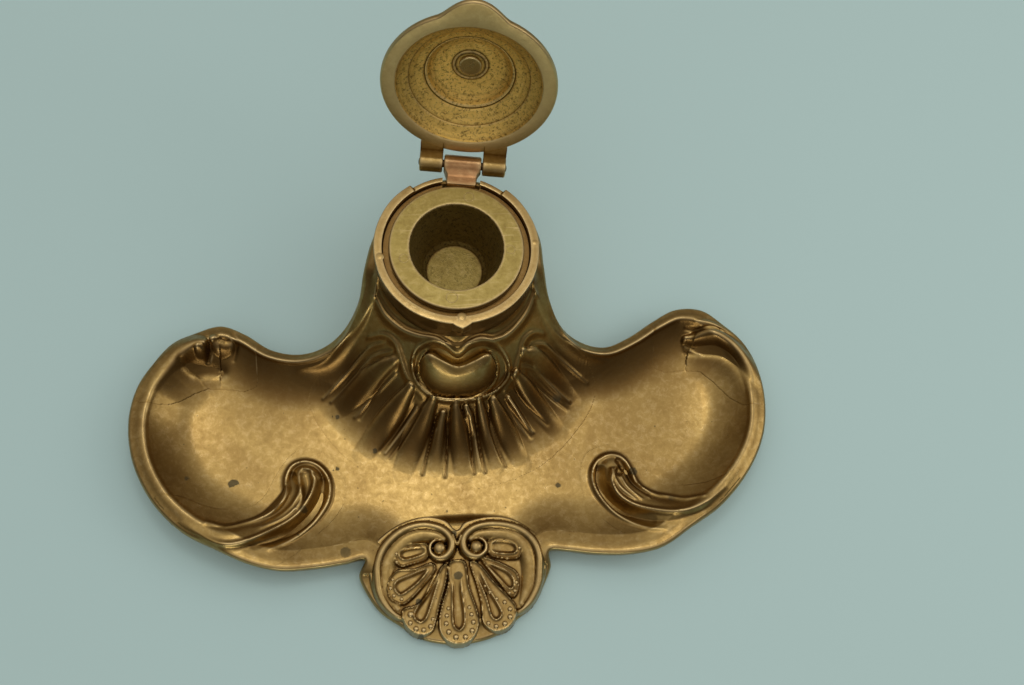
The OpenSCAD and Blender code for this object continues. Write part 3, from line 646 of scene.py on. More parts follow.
def cast_brass(name, colours, shine, light=None, raw_and_lit=None, grain=0.12, brown_share=0.5, pits=False,
               sand=False, scratched=False):
    """Cast brass, polished long ago and handled since: gold where worn, brown in the hollows,
    with a fine casting grain, and painted shade that darkens it towards brown where a piece
    asks for it. Options give it grey-green specks of corrosion, the dark speckle of an
    unpolished sand casting, or a wiped flange's scratches; the sanded parts can take a lighter
    colour, partly unpolished brass and partly painted light."""
    material, tree = new_tree(name)
    object_place = add_node(tree, "ShaderNodeTexCoord", out="Object")
    place = add_node(tree, "ShaderNodeMapping", {"Vector": object_place, "Scale": (1 / MM,) * 3})
    worn, brown, crust = colours.worn, colours.brown, colours.crust
    # Broad clouds of brown patina some 25 mm across, a mottle some 2 mm across, and the grain
    clouds, mottle, fine, speckle = (
        add_node(tree, "ShaderNodeTexNoise", {"Vector": place, "Scale": per_mm, "Detail": detail,
                                              "Roughness": rough, "Distortion": bent})
        for per_mm, detail, rough, bent in ((0.045, 4, 0.6, 0.6), (0.45, 6, 0.7, 0.4), (2.6, 5, 0.65, 0),
                                            (1.1, 4, 0.8, 0)))
    hollow, shade, sanded, pitted, wiped = (
        add_node(tree, "ShaderNodeAttribute", out="Fac", attribute_name=label)
        for label in ("hollow", "shade", "sand", "pitted", "scratched"))
    colour = light or colours.gold
    # Sanded parts take the raw colour: partly unpolished brass, partly painted light that makes them lighter
    if raw_and_lit:
        colour = add_node(tree, "ShaderNodeMix", {0: sanded, 6: colour, 7: raw_and_lit}, 2, data_type="RGBA")
    # Each layer: what it follows, from which value to which, its strength and its colour. The layer that
    # follows the shade attribute is painted shade, in the patina's brown.
    for source, low, high, share, over in (
            (clouds, 0.34, 0.68, brown_share, brown), (mottle, 0.5, 0.72, 0.3, brown),
            (mottle, 0.5, 0.28, 0.25, worn), (shade, 0, 1.2, 1.02, brown), (hollow, 0.04, 0.3, 0.75, brown),
            (hollow, 0.2, 0.6, 0.75, crust), (hollow, -0.06, -0.4, 0.6, worn)):
        factor = add_node(tree, "ShaderNodeMapRange", {"Value": source, "From Min": low, "From Max": high,
                                                       "To Max": share})
        colour = add_node(tree, "ShaderNodeMix", {0: factor, 6: colour, 7: over}, 2, data_type="RGBA")
    rough = add_node(tree, "ShaderNodeMapRange", {"Value": mottle, "From Min": 0.3, "From Max": 0.7,
                                                  "To Min": shine - 0.03, "To Max": shine + 0.04})
    patches = []
    if sand:
        dark = add_node(tree, "ShaderNodeMapRange", {"Value": speckle, "From Min": 0.52, "From Max": 0.62,
                                                     "To Max": 0.7})
        dark = add_node(tree, "ShaderNodeMath", {0: sanded, 1: dark}, operation="MULTIPLY")
        colour = add_node(tree, "ShaderNodeMix", {0: dark, 6: colour, 7: crust}, 2, data_type="RGBA")
        patches.append((sanded, 0.1))
    if pits:
        unrest = add_node(tree, "ShaderNodeTexNoise", {"Vector": place, "Scale": 0.9}, "Color")
        shifted = add_node(tree, "ShaderNodeVectorMath", {0: place, 1: unrest}, operation="ADD")
        for cell_mm, chance, size in PITS:
            cells = add_node(tree, "ShaderNodeTexVoronoi", {"Vector": shifted, "Scale": 1 / cell_mm},
                             "Color", voronoi_dimensions="2D")
            draw = add_node(tree, "ShaderNodeSeparateColor", {"Color": cells})
            radius = add_node(tree, "ShaderNodeMapRange", {"Value": draw, "From Min": chance,
                                                           "From Max": chance + 0.35, "To Max": size})
            depth = add_node(tree, "ShaderNodeMath", {0: radius, 1: cells.node.outputs["Distance"]},
                             operation="SUBTRACT")
            depth = add_node(tree, "ShaderNodeMapRange", {"Value": depth, "From Max": 0.03, "To Max": 0.75})
            spot = add_node(tree, "ShaderNodeMath", {0: depth, 1: pitted}, operation="MULTIPLY")
            colour = add_node(tree, "ShaderNodeMix", {0: spot, 6: colour, 7: linear(PIT_COLOUR)}, 2,
                              data_type="RGBA")
            patches.append((spot, 0.2 / 0.75))
    if scratched:
        most = 0.0
        for turn, along in SCRATCHES:
            drawn = add_node(tree, "ShaderNodeMapping", {"Vector": object_place, "Rotation": (0, 0, turn),
                                                         "Scale": (along, SCRATCH_WAVES, 0)})
            streak = add_node(tree, "ShaderNodeTexNoise", {"Vector": drawn, "Scale": 1.0, "Detail": 2,
                                                           "Roughness": 0.5})
            streak = add_node(tree, "ShaderNodeMapRange", {"Value": streak, "From Min": 0.63,
                                                           "From Max": 0.7, "To Max": 0.55})
            most = add_node(tree, "ShaderNodeMath", {0: most, 1: streak}, operation="MAXIMUM")
        most = add_node(tree, "ShaderNodeMath", {0: most, 1: wiped}, operation="MULTIPLY")
        colour = add_node(tree, "ShaderNodeMix", {0: most, 6: colour, 7: worn}, 2, data_type="RGBA")
    for patch, more in patches:
        rough = add_node(tree, "ShaderNodeMath", {0: patch, 1: more, 2: rough}, operation="MULTIPLY_ADD")
    bumps = [(fine, grain, 0.1), (mottle, grain, 0.35)]
    if sand:
        sandy = add_node(tree, "ShaderNodeMath", {0: speckle, 1: sanded}, operation="MULTIPLY")
        bumps.append((sandy, 0.9, 0.35))
    surface = {"Base Color": colour, "Metallic": 1.0, "Roughness": rough}
    for height, strength, reach in bumps:
        bump = {"Height": height, "Strength": strength, "Distance": reach * MM}
        if "Normal" in surface:
            bump["Normal"] = surface["Normal"]
        surface["Normal"] = add_node(tree, "ShaderNodeBump", bump)
    shader = add_node(tree, "ShaderNodeBsdfPrincipled", surface)
    add_node(tree, "ShaderNodeOutputMaterial", {"Surface": shader})
    return material


def pin_wire(name, colour):
    """Drawn wire, dark with age and oil: a smooth grey-brown metal."""
    material, tree = new_tree(name)
    place = add_node(tree, "ShaderNodeTexCoord", out="Object")
    drawn = add_node(tree, "ShaderNodeTexNoise", {"Vector": place, "Scale": 900.0, "Detail": 3.0})
    dark = add_node(tree, "ShaderNodeMapRange", {"Value": drawn, "From Min": 0.35, "From Max": 0.7})
    colour = add_node(tree, "ShaderNodeMix", {0: dark, 6: colour, 7: [c * 0.5 for c in colour]}, 2,
                      data_type="RGBA")
    rough = add_node(tree, "ShaderNodeMapRange", {"Value": drawn, "From Min": 0.3, "From Max": 0.7,
                                                  "To Min": 0.35, "To Max": 0.5})
    shader = add_node(tree, "ShaderNodeBsdfPrincipled", {"Base Color": colour, "Metallic": 1.0,
                                                         "Roughness": rough})
    add_node(tree, "ShaderNodeOutputMaterial", {"Surface": shader})
    return material


# Settings that the panel shows
def length(name, text, value):
    return FloatProperty(name=name, description=text, default=value * MM, min=0, subtype="DISTANCE",
                         unit="LENGTH", precision=5)


def tint(name, text, code):
    return FloatVectorProperty(name=name, description=text, default=linear(code), size=3, min=0, max=1,
                               subtype="COLOR")


class InkstandCasting(bpy.types.PropertyGroup):
    roll: length("Roll", "Radius of the rolled edge behind the well", 2.6)
    floor: length("Floor height", "Height of the basin's floor", 4.6)
    wall: length("Wall", "Thickness of the cast wall", 2.4)
    scoop: length("Scoop", "Plan width of the scooped wall inside the rolled edge", 14)
    collar_radius: length("Collar", "Outer radius of the collar", 26)
    tower_run: length("Tower run", "Plan length of the tower's front", 36)
    relief: FloatProperty(name="Relief", description="Strength of the cast relief", default=1.0, min=0, max=2)


class InkstandShell(bpy.types.PropertyGroup):
    lobe_rise: length("Lobe rise", "Height of the shell's lobes over its plate", 1.5)
    flute: length("Flute", "Depth of the flute inside each lobe", 0.5)
    bead: length("Bead", "Radius of the beads round the lobes' ends", 0.85)


class InkstandLid(bpy.types.PropertyGroup):
    rim: length("Rim", "Outer radius of the lid", 27.2)
    recess: length("Recess", "Radius of the recess inside the lid", 22.7)
    tab: length("Tab", "How far the thumb tab stands out", 4.5)
    sand_depth: length("Sand", "Depth of the sand-cast texture inside", 0.16)


class InkstandFinish(bpy.types.PropertyGroup):
    gold: tint("Gold", "Polished brass", "#9c824d")
    worn: tint("Worn", "Brass where hands have worn it", "#cdb584")
    # Brown patina; painted shade darkens the brass towards this colour too
    brown: tint("Brown", "Brown patina", "#654a26")
    crust: tint("Crust", "Dirt and corrosion in the hollows", "#2b2115")
    # Partly the real unpolished brass inside the lid, partly painted light: lighter to stand in for the light
    # falling inside the lid
    raw_and_lit: tint("Raw", "Unpolished brass inside the lid", "#f0cb70")
    copper: tint("Copper", "The hinge lug's redder brass", "#a67c55")
    flange: tint("Flange", "The cup's raw greenish brass", "#9c8a4e")
    wire: tint("Wire", "The hinge pin", "#5d4c3a")


class InkstandStage(bpy.types.PropertyGroup):
    floor: tint("Floor", "The plain pale floor", "#b4cfcf")
    lens: FloatProperty(name="Lens", description="Focal length on a 36 mm wide sensor", default=42.19,
                        min=10, unit="CAMERA")
    key: FloatProperty(name="Key", description="Strength of the key light in watts", default=0.33, min=0)
    fill: FloatProperty(name="Fill", description="Strength of the fill light in watts", default=0.8, min=0)
    front: FloatProperty(name="Front", description="Strength of the low front light in watts", default=0.6,
                         min=0)
    sky: FloatProperty(name="Sky", description="Strength of the soft light all round", default=1.5, min=0)


# The casting
# Steps in each span of the outline, from the lobe's end on
SPAN_STEPS = (9,) * 9 + (17,) * 7
QUARTER = len(BACK_EDGE) - 1
# How far the whole outline leans over, across for each millimetre to the back
LEAN = 0.025
# The line in the basin that its rings close on: half length, y in the middle, bow at the ends
SPINE_HALF = 84
SPINE_Y = -56
SPINE_BOW = 12
# Share of the way to the spine at which the lines bend, towards the arch round the shell
BEND_SHARE = 0.35
# Rings over the top, how near the last comes to the spine, and the shares of those underneath
TOP_ROWS = 70
LAST_SHARE = 0.985
UNDER_SHARES = (LAST_SHARE, 0.9, 0.78, 0.66, 0.55, 0.45, 0.35, 0.26, 0.17, 0.08, 0.0)
# The well's hole below the cup
HOLE_R = 18
# Height of the tower's flat top, and what its flare aims at in front and at the back
DECK_Z = 46.5
APRON_Z = 43.5
SHOULDER_Z = 50.5
# The tower's flare falls off, and the scooped wall rises, with these powers
FLARE_POWER = 1.8
SCOOP_POWER = 2.2
# Share of the edge's height that the floor's bowl takes up, how far the bowl reaches in, and
# the highest edge that it heeds
BOWL_SHARE = 0.36
BOWL_REACH = 13.0
BOWL_TOP = 9.5
# The plate that the shell lies on: its height at the back and front end, where those are, how
# thick it lies over the bed, and the ledge round it
PLATE_BACK_Z = 8.3
PLATE_FRONT_Z = 5.8
PLATE_Y = (-80, -114)
PLATE_COVER = 0.7
SHELL_LEDGE_Z = 3.8
# Half width and back end of the part of the basin that the shell's bed reaches
SHELL_NEAR = (50, -62)
# Fillet between the basin's wall and the tower
FILLET = 5
# Arch behind the shell: its foot's y, half width, height, and the power of its curve
ARCH = (-91, 27.5, 13.5)
ARCH_POWER = 2.6
# Where ring lines that start behind the well come out in front of the collar
SKIP_AT = (12, 12.5, 13, 13.5, 14, 15, 16)
SKIP_SHARE = (0, 0.15, 0.28, 0.38, 0.45, 0.53, 0.56)
# Sections of the edge: share of the way in to its lip, and height from its crest. Round the
# lobes it slopes out from a crest near its inner side, at the front it is a plain flared lip,
# behind the well a round roll, and under the shell a low ledge.
RIM_SECTIONS = (
    ((0, -3.4), (0.015, -2.6), (0.05, -2), (0.12, -1.5), (0.22, -1.25), (0.38, -0.85), (0.54, -0.35),
     (0.67, -0.06), (0.76, 0), (0.85, -0.2), (0.93, -0.7), (1, -1.25)),
    ((0, -1.7), (0.02, -1), (0.05, -0.45), (0.12, -0.12), (0.2, 0), (0.3, -0.08), (0.45, -0.25),
     (0.6, -0.5), (0.76, -0.75), (1, -1.15)),
    ((0, -2.6), (0.02, -1.9), (0.07, -1.3), (0.15, -0.76), (0.25, -0.35), (0.38, -0.09), (0.51, 0),
     (0.64, -0.1), (0.76, -0.35), (0.86, -0.7), (0.94, -1.2), (1, -1.9)),
    ((0, -1.5), (0.04, -0.8), (0.1, -0.3), (0.2, 0), (0.6, 0), (1, 0)),
)
RIM_WIDTHS = (6.6, 5.1, 5.6)
# Where the lip, the roll and the ledge start, and over how far they come in, counted in points
# of the outline from the lobe's end
RIM_STARTS = ((4.3, 1.1), (9.5, 2), (9.9, 2.6))
# Width of the sloping band from the outer edge to its crest, at the outline's points, and the
# whole section's width for it
BAND_TO_WIDTH = 6.7 / 5.1
BACK_BAND = (5.2, 5.4, 6, 6, 5, 4, 3.4, 3.2, 3.2, 3, 3, 2.8, 2.8, 2.8, 2.8, 2.8, 2.8)
FRONT_BAND = (5.2, 5.1, 5, 5, 5.2, 5.2, 5.2, 5.2, 5.2, 5.2, 5.2, 5.2, 5.2, 5.2, 5.2, 5.2, 5.2)
RIM_ROWS = (0, 0.015, 0.05, 0.085, 0.12, 0.17, 0.22, 0.3, 0.38, 0.46, 0.54, 0.61, 0.67, 0.72, 0.76, 0.8,
            0.85, 0.89, 0.93, 0.965)
# Places of fine relief, each made as a piece of its own on the casting, with its thickness:
# name, step, outline
RELIEF_THICK = 1.6
RELIEF_PLACES = (
    ("tray_fan", 0.33, ((-27, -6), (-35, -15), (-44, -25), (-50, -34), (-45, -46), (-34, -58), (-16, -66),
                        (6, -67), (26, -61), (40, -49), (48, -36), (44, -25), (34, -15), (26, -6))),
    ("tray_scroll_left", 0.3, ((-98, -68), (-90, -66), (-78, -70), (-66, -68), (-60, -58), (-54, -51),
                               (-46, -51), (-39, -58), (-38, -70), (-46, -80), (-58, -90), (-74, -92),
                               (-92, -84))),
    ("tray_scroll_right", 0.3, ((92, -66), (80, -69), (68, -67), (62, -58), (56, -53), (49, -53), (42, -56),
                                (39.5, -64), (41, -73), (48, -82), (58, -89), (70, -90), (88, -80))),
    ("tray_curl_left", 0.3, ((-66, -30), (-66, -10), (-84, -4), (-106, -14), (-106, -34), (-94, -36),
                             (-82, -30))),
    ("tray_curl_right", 0.3, ((68, -28), (70, -8), (86, -4), (108, -14), (108, -42), (96, -44), (84, -30))),
)


def moved_out(rows, out, clockwise):
    """A quarter outline with each point moved outwards by its share of hand finishing."""
    p = np.array(rows, float)
    step = np.gradient(p[:, :2], axis=0)
    step /= np.linalg.norm(step, axis=1)[:, None]
    outward = np.stack([-step[:, 1], step[:, 0]], 1) if clockwise else np.stack([step[:, 1], -step[:, 0]], 1)
    outward[0], outward[-1] = (1, 0), (0, -1 if clockwise else 1)
    p[:, :2] += outward * np.array(out)[:, None]
    return p


class CastingForm:
    """The casting's plan and heights, as arrays over the lines that run in from its edge. Every
    height is a function of the place alone, so that all pieces of the casting fit together."""

    def __init__(self, settings):
        self.roll_share = settings.roll / MM / 2.6
        self.floor_z = settings.floor / MM
        self.wall = settings.wall / MM
        self.scoop_w = settings.scoop / MM
        self.collar_r = settings.collar_radius / MM
        self.tower_run = settings.tower_run / MM
        self.relief_share = settings.relief
        self.sections = [smooth_line(rows, 4) for rows in RIM_SECTIONS]
        self.place_edge()
        self.place_rim()
        self.place_lines()

    def place_edge(self):
        mirror = np.array([-1, 1, 1, 1])
        back_right = moved_out(BACK_EDGE, BACK_OUT_RIGHT, False)
        back_left = moved_out(BACK_EDGE, BACK_OUT_LEFT, False) * mirror
        front_right = moved_out(FRONT_EDGE, FRONT_OUT_RIGHT, True)
        front_left = moved_out(FRONT_EDGE, FRONT_OUT_LEFT, True) * mirror
        control = np.vstack([back_right, back_left[-2::-1], front_left[1:], front_right[-2:0:-1]])
        count = len(control)
        rows, marks = [], []
        for k in range(count):
            a, b, c, d = (control[(k + j) % count] for j in (-1, 0, 1, 2))
            j = k if k < 2 * QUARTER else count - 1 - k
            steps = SPAN_STEPS[min(j, 2 * QUARTER - 1 - j)]
            for s in range(steps):
                rows.append(between(a, b, c, d, s / steps))
                marks.append(k + s / steps)
        self.edge = np.array(rows)
        self.edge[:, 0] += LEAN * self.edge[:, 1]
        self.mark = np.array(marks)
        self.count = len(rows)

    def place_rim(self):
        """Kind, width and crest of the edge all round, and the lip where the basin starts."""
        mark, edge = self.mark, self.edge
        front = mark > 2 * QUARTER
        place = np.minimum(np.minimum(mark, np.abs(mark - 2 * QUARTER)), 4 * QUARTER - mark)
        plain, roll, ledge = (smooth((place - start) / over) for start, over in RIM_STARTS)
        ledge = front * ledge
        plain = front * plain * (1 - ledge)
        roll = ~front * roll
        index = np.arange(QUARTER + 1)
        band = np.where(front, np.interp(place, index, FRONT_BAND), np.interp(place, index, BACK_BAND))
        widths = [band * BAND_TO_WIDTH] + [np.full(len(mark), w) for w in RIM_WIDTHS]
        kinds = np.stack([1 - ledge - plain - roll, plain, roll, ledge])
        width = (kinds * np.stack(widths)).sum(0) * self.roll_share
        crest = lerp(edge[:, 2], SHELL_LEDGE_Z, ledge)
        step = np.roll(edge[:, :2], -1, 0) - np.roll(edge[:, :2], 1, 0)
        self.inward = np.stack([-step[:, 1], step[:, 0]], 1) / np.linalg.norm(step, axis=1)[:, None]
        self.lip = edge[:, :2] + self.inward * width[:, None]
        lip_z = crest + self.section(np.ones(len(mark)), kinds)
        self.lip_z = np.maximum(lip_z, self.floor_z + self.tower(self.lip[:, 0], self.lip[:, 1]))
        self.along_edge = np.vstack([crest, width, self.lip_z, kinds])
        self.width, self.crest, self.kinds = width, crest, kinds

    def place_lines(self):
        mark = self.mark
        self.to_tip = np.where(mark > 2 * QUARTER, 1 - np.abs(mark - 3 * QUARTER) / QUARTER, 0)
        along = np.where(mark <= 2 * QUARTER, mark, 4 * QUARTER - mark)
        spine_x = SPINE_HALF * (1 - along / QUARTER)
        self.spine = np.stack([spine_x, SPINE_Y + SPINE_BOW * (spine_x / SPINE_HALF) ** 2], 1)
        angle = np.radians(np.interp(self.to_tip, (0.6, 1), (14, 90)))
        side = np.where(mark < 3 * QUARTER, -1, 1)
        arch_y, arch_w, arch_h = ARCH
        y = arch_y + arch_h * np.sin(angle) ** (2 / ARCH_POWER)
        x = side * arch_w * np.clip(np.cos(angle), 0, 1) ** (2 / ARCH_POWER) + LEAN * y
        to_arch = smooth((self.to_tip - 0.44) / 0.16)[:, None]
        self.bend = lerp(lerp(self.lip, self.spine, BEND_SHARE), np.stack([x, y], 1), to_arch)
        quarter_mark = np.where(along <= QUARTER, along, 2 * QUARTER - along)
        self.skip = np.where(mark <= 2 * QUARTER, np.interp(quarter_mark, SKIP_AT, SKIP_SHARE), 0)

    def section(self, share, kinds):
        """Height from the crest at a share of the way in over the edge."""
        return sum(kind * np.interp(share, rows[:, 0], rows[:, 1])
                   for kind, rows in zip(kinds, self.sections))

    def squares_apart(self, places):
        """Squared distances of places to all points of the edge, a part of the places at a time."""
        line = self.edge[:, :2]
        for start in range(0, len(places), CHUNK):
            part = places[start:start + CHUNK]
            yield (part**2).sum(1)[:, None] + (line**2).sum(1) - 2 * part @ line.T

    def beside(self, x, y):
        """Distance in from the outer edge, and the edge's own numbers at the nearest place."""
        places = np.stack([x.ravel(), y.ravel()], 1)
        line = self.edge[:, :2]
        closest = np.concatenate([apart.argmin(1) for apart in self.squares_apart(places)])
        best = np.full(len(places), 1e9)
        found = np.zeros((len(self.along_edge), len(places)))
        for shift in (-1, 0):
            a = (closest + shift) % self.count
            b = (a + 1) % self.count
            step = line[b] - line[a]
            t = np.clip(((places - line[a]) * step).sum(1) / np.maximum((step**2).sum(1), 1e-9), 0, 1)
            away = np.linalg.norm(places - line[a] - step * t[:, None], axis=1)
            closer = away < best
            best = np.where(closer, away, best)
            found = np.where(closer, lerp(self.along_edge[:, a], self.along_edge[:, b], t), found)
        return best.reshape(x.shape), found.reshape((-1,) + x.shape)

    def crossed_in(self, x, y):
        """Whether places lie inside the outline."""
        return inside_distance(x, y, self.edge[::2, :2]) > 0

    def tower(self, x, y):
        """Height of the tower's flare over the floor."""
        r = np.maximum(1, np.hypot(x, y))
        share = np.clip((r - self.collar_r + 2.5) / (self.tower_run + 2.5), 0, 1)
        peak = lerp(APRON_Z, SHOULDER_Z, smooth((y / r + 1) / 0.8))
        return np.minimum(DECK_Z - self.floor_z, (peak - self.floor_z) * (1 - share) ** FLARE_POWER)

    def arch_reach(self, x, y):
        arch_y, arch_w, arch_h = ARCH
        return (np.abs((x - LEAN * y) / arch_w) ** ARCH_POWER
                + (np.maximum(0, y - arch_y) / arch_h) ** ARCH_POWER) ** (1 / ARCH_POWER)

    def plate(self, y):
        """Height of the plate that the shell lies on."""
        return np.interp(-y, (-PLATE_Y[0], -PLATE_Y[1]), (PLATE_BACK_Z, PLATE_FRONT_Z))

    def bowl(self, x, y):
        """Gentle rise of the basin's floor towards the edges all round."""
        places = np.stack([x.ravel(), y.ravel()], 1)
        line = self.edge[:, :2]
        reach = np.linalg.norm(np.roll(line, -1, 0) - line, axis=1)
        high = np.clip(self.lip_z - self.floor_z, 0, BOWL_TOP) * (self.kinds[0] + self.kinds[1])
        weight = reach * high * BOWL_SHARE / (math.sqrt(2 * math.pi) * BOWL_REACH)
        rise = [np.exp(-apart / (2 * BOWL_REACH**2)) @ weight for apart in self.squares_apart(places)]
        return np.concatenate(rise).reshape(x.shape)

    def ground(self, x, y, distance, top):
        """Height of the plain basin and tower at a distance in from the lip."""
        bowl = self.bowl(x, y)
        wall = np.clip(1 - distance / self.scoop_w, 0, 1) ** SCOOP_POWER
        scoop = bowl + np.maximum(top - self.floor_z - bowl, 0) * wall
        tower = self.tower(x, y)
        ease = np.minimum(FILLET, 0.6 * (scoop + tower)) + 0.01
        blend = np.maximum(0, ease - np.abs(scoop - tower)) / ease
        rise = np.maximum(scoop, tower) + blend * blend * ease / 4
        past_arch = (self.arch_reach(x, y) - 0.97) * smooth((y - ARCH[0] + 2) / 6)
        fall = np.clip(1 - 4 * past_arch, 0, 1) ** 2
        under_shell = (self.plate(y) - PLATE_COVER - self.floor_z) * fall
        near_shell = (y < SHELL_NEAR[1]) & (np.abs(x) < SHELL_NEAR[0])
        return self.floor_z + np.maximum(rise, np.where(near_shell, under_shell, 0))

    def surface(self, x, y):
        """Height of the plain casting, edge and basin, and the distance in from the edge."""
        away, (crest, width, lip_z, *kinds) = self.beside(x, y)
        share = np.clip(away / width, 0, 1)
        inner = self.ground(x, y, np.maximum(away - width, 0), lip_z)
        last = self.section(np.ones(x.shape), kinds)
        rim = crest + self.section(share, kinds) + (inner - crest - last) * share**3
        return np.where(away < width, rim, inner), away

    def relief(self, x, y):
        """Height that the cast ornament adds to the plain casting."""
        scotia = [(x0 * 0.93, y0 * 0.93 + 0.4, 1.9, 1.3) for x0, y0, _, _ in BRACE]
        added = highest(x, y, PETALS, petal_back)
        added -= added_up(x, y, FAN_GROOVES + (scotia,), line_back)
        added += added_up(x, y, FAN_RIDGES + STRAPS + (BRACE,) + FLANK_RIDGES, line_back)
        in_frame, in_boss = area_depth(x, y, CARTOUCHE), area_depth(x, y, BOSS)
        # The ground between frame and boss lies deeper; a line follows each of them
        sunk = smooth(in_frame / FRAME_SLOPE)
        added = added * (1 - sunk) - FRAME_DEEP * sunk * (in_boss < 0)
        for inside, (at, half, rise) in ((in_frame, FRAME_LINE), (in_boss, BOSS_LINE)):
            added += rise * np.exp(-((inside - at) / half) ** 2)
        crown = round_back(1 - np.clip(in_boss / BOSS_EDGE, 0, 1))
        added += np.where(in_boss > 0, BOSS_RISE * crown - 0.4, 0)
        added -= trail(x, y, BOSS_DISH, soft_back)
        added += highest(x, y, SCROLL_BODIES, soft_back) + highest(x, y, CURL_SWELLS, bell_back)
        added -= added_up(x, y, SCROLL_HOLLOWS, soft_back) + added_up(x, y, CURL_GROOVES, line_back)
        added += added_up(x, y, SCROLL_RIDGES + CURL_RIDGES, line_back)
        return added * self.relief_share

    def place_depth(self, name, outline, x, y, away):
        """How far a place lies inside one of the places of fine relief."""
        depth = np.minimum(area_depth(x, y, outline, 3), away - 0.9)
        if name == "tray_fan":
            depth = np.minimum(depth, np.hypot(x, y) - self.collar_r + 1)
        return depth

    def plan_row(self, share):
        """Plan points at a share of the way in along every line, past what the collar hides."""
        share = np.where(share < 0.02, share, self.skip + (1 - self.skip) * share)[:, None]
        outer = lerp(self.lip, self.bend, share / BEND_SHARE)
        return np.where(share < BEND_SHARE, outer,
                        lerp(self.bend, self.spine, (share - BEND_SHARE) / (1 - BEND_SHARE)))

    def edge_row(self, inset, z):
        plan = self.edge[:, :2] + self.inward * np.broadcast_to(inset, (self.count,))[:, None]
        return np.column_stack([plan, np.broadcast_to(z, (self.count,))])

    def rows(self):
        """Rings from the foot's outer edge over the top and back underneath."""
        foot = self.edge[:, 3]
        low = self.crest + self.section(np.zeros(self.count), self.kinds)
        skirt = [self.edge_row(foot * f, low * up)
                 for f, up in smooth_line(((1, 0), (0.75, 0.3), (0.3, 0.65), (0, 1)), 3)[:-1]]
        outer = [self.edge_row(self.width * s, self.crest + self.section(np.full(self.count, s), self.kinds))
                 for s in RIM_ROWS[:3]]
        plans = [self.edge_row(self.width * s, 0)[:, :2] for s in RIM_ROWS[3:]]
        plans += [self.plan_row(s) for s in np.linspace(0, 1, TOP_ROWS) ** 1.05 * LAST_SHARE]
        x, y = np.moveaxis(np.stack(plans), -1, 0)
        z, away = self.surface(x, y)
        covered = np.max([self.place_depth(name, outline, x, y, away)
                          for name, _, outline in RELIEF_PLACES], axis=0)
        # Under the pieces of fine relief it is plain and lies lower, out of their way
        z += self.relief(x, y) * (1 - smooth((covered - 1.5) / 2))
        z -= 0.06 * smooth(covered / 2) + 0.8 * smooth((covered - 2.5) / 3)
        top = list(np.stack([x, y, z], -1))
        under = []
        for s in UNDER_SHARES:
            x, y = self.plan_row(s).T
            z, _ = self.surface(x, y)
            steep = np.hypot(self.tower(x + 1, y) - self.tower(x - 1, y),
                             self.tower(x, y + 1) - self.tower(x, y - 1)) / 2
            slope = np.minimum(2, 1.4 * (1 - s) ** 4 + steep)
            under.append(np.column_stack([x, y, z - 0.8 - self.wall * np.sqrt(1 + slope**2)]))
        inner = [self.edge_row(foot * f + self.wall, low * up) for f, up in ((0.3, 0.6), (0.75, 0.3), (1, 0))]
        return np.stack(skirt + outer + top + under + inner), len(skirt) + len(outer) + len(top) - 1


def close_spine(form, row, flip):
    """Quads that close a ring of lines on the basin's spine."""
    n, faces = form.count, []
    half = int(np.argmax(form.mark >= 2 * QUARTER))
    for j in range(half):
        a, b, c, d = j, j + 1, (n - j - 1) % n, (n - j) % n
        corners = [row * n + k for k in dict.fromkeys((a, b, c, d) if not flip else (d, c, b, a))]
        if len(corners) > 2:
            faces.append(corners)
    return faces


def build_casting(form):
    rows, top_row = form.rows()
    n = form.count
    points = rows.reshape(-1, 3)
    bands = [q for q in join_grid(len(rows), n, wrap_rows=True).tolist() if q[0] // n != top_row]
    faces = bands + close_spine(form, top_row, False) + close_spine(form, top_row + 1, True)
    made = make_mesh("tray_casting", well_frame(points), faces)
    face_outwards(made)
    cut(made, turned_piece("drill", ((0, 25), (HOLE_R, 25), (HOLE_R, 60), (0, 60)), 160))
    return made


def build_slab(name, x, y, top, bottom, kept):
    """A closed piece on a grid of places, between a top and a bottom height, where kept is true."""
    cell = kept[:-1, :-1] & kept[:-1, 1:] & kept[1:, :-1] & kept[1:, 1:]
    index = np.arange(x.size).reshape(x.shape)
    quads = np.stack([index[:-1, :-1], index[:-1, 1:], index[1:, 1:], index[1:, :-1]], -1)[cell]
    sides = np.stack([quads.reshape(-1), np.roll(quads, -1, 1).reshape(-1)], 1)
    code, back = sides[:, 0] * x.size + sides[:, 1], sides[:, 1] * x.size + sides[:, 0]
    open_sides = sides[~np.isin(code, back)]
    walls = np.stack([open_sides[:, 1], open_sides[:, 0], open_sides[:, 0] + x.size,
                      open_sides[:, 1] + x.size], 1)
    faces = np.vstack([quads, quads[:, ::-1] + x.size, walls])
    points = np.concatenate([np.stack([x, y, top], -1).reshape(-1, 3),
                             np.stack([x, y, bottom], -1).reshape(-1, 3)])
    used = np.unique(faces)
    renumbered = np.zeros(len(points), int)
    renumbered[used] = np.arange(len(used))
    made = make_mesh(name, well_frame(points[used]), renumbered[faces])
    face_outwards(made)
    return made


def plan_grid(outline, step):
    low, high = np.min(outline, axis=0), np.max(outline, axis=0)
    return np.meshgrid(np.arange(low[0], high[0] + step, step), np.arange(low[1], high[1] + step, step))


def build_relief(form, name, step, outline):
    """One of the places of fine relief, laid on the casting with its border sunk into it."""
    x, y = plan_grid(outline, step)
    ground, away = form.surface(x, y)
    depth = form.place_depth(name, outline, x, y, away)
    top = ground + form.relief(x, y) - (depth < step)
    kept = (depth > 0) & form.crossed_in(x, y)
    return build_slab(name, x, y, top, ground - RELIEF_THICK, kept)


# The shell
SHELL_STEP = 0.27
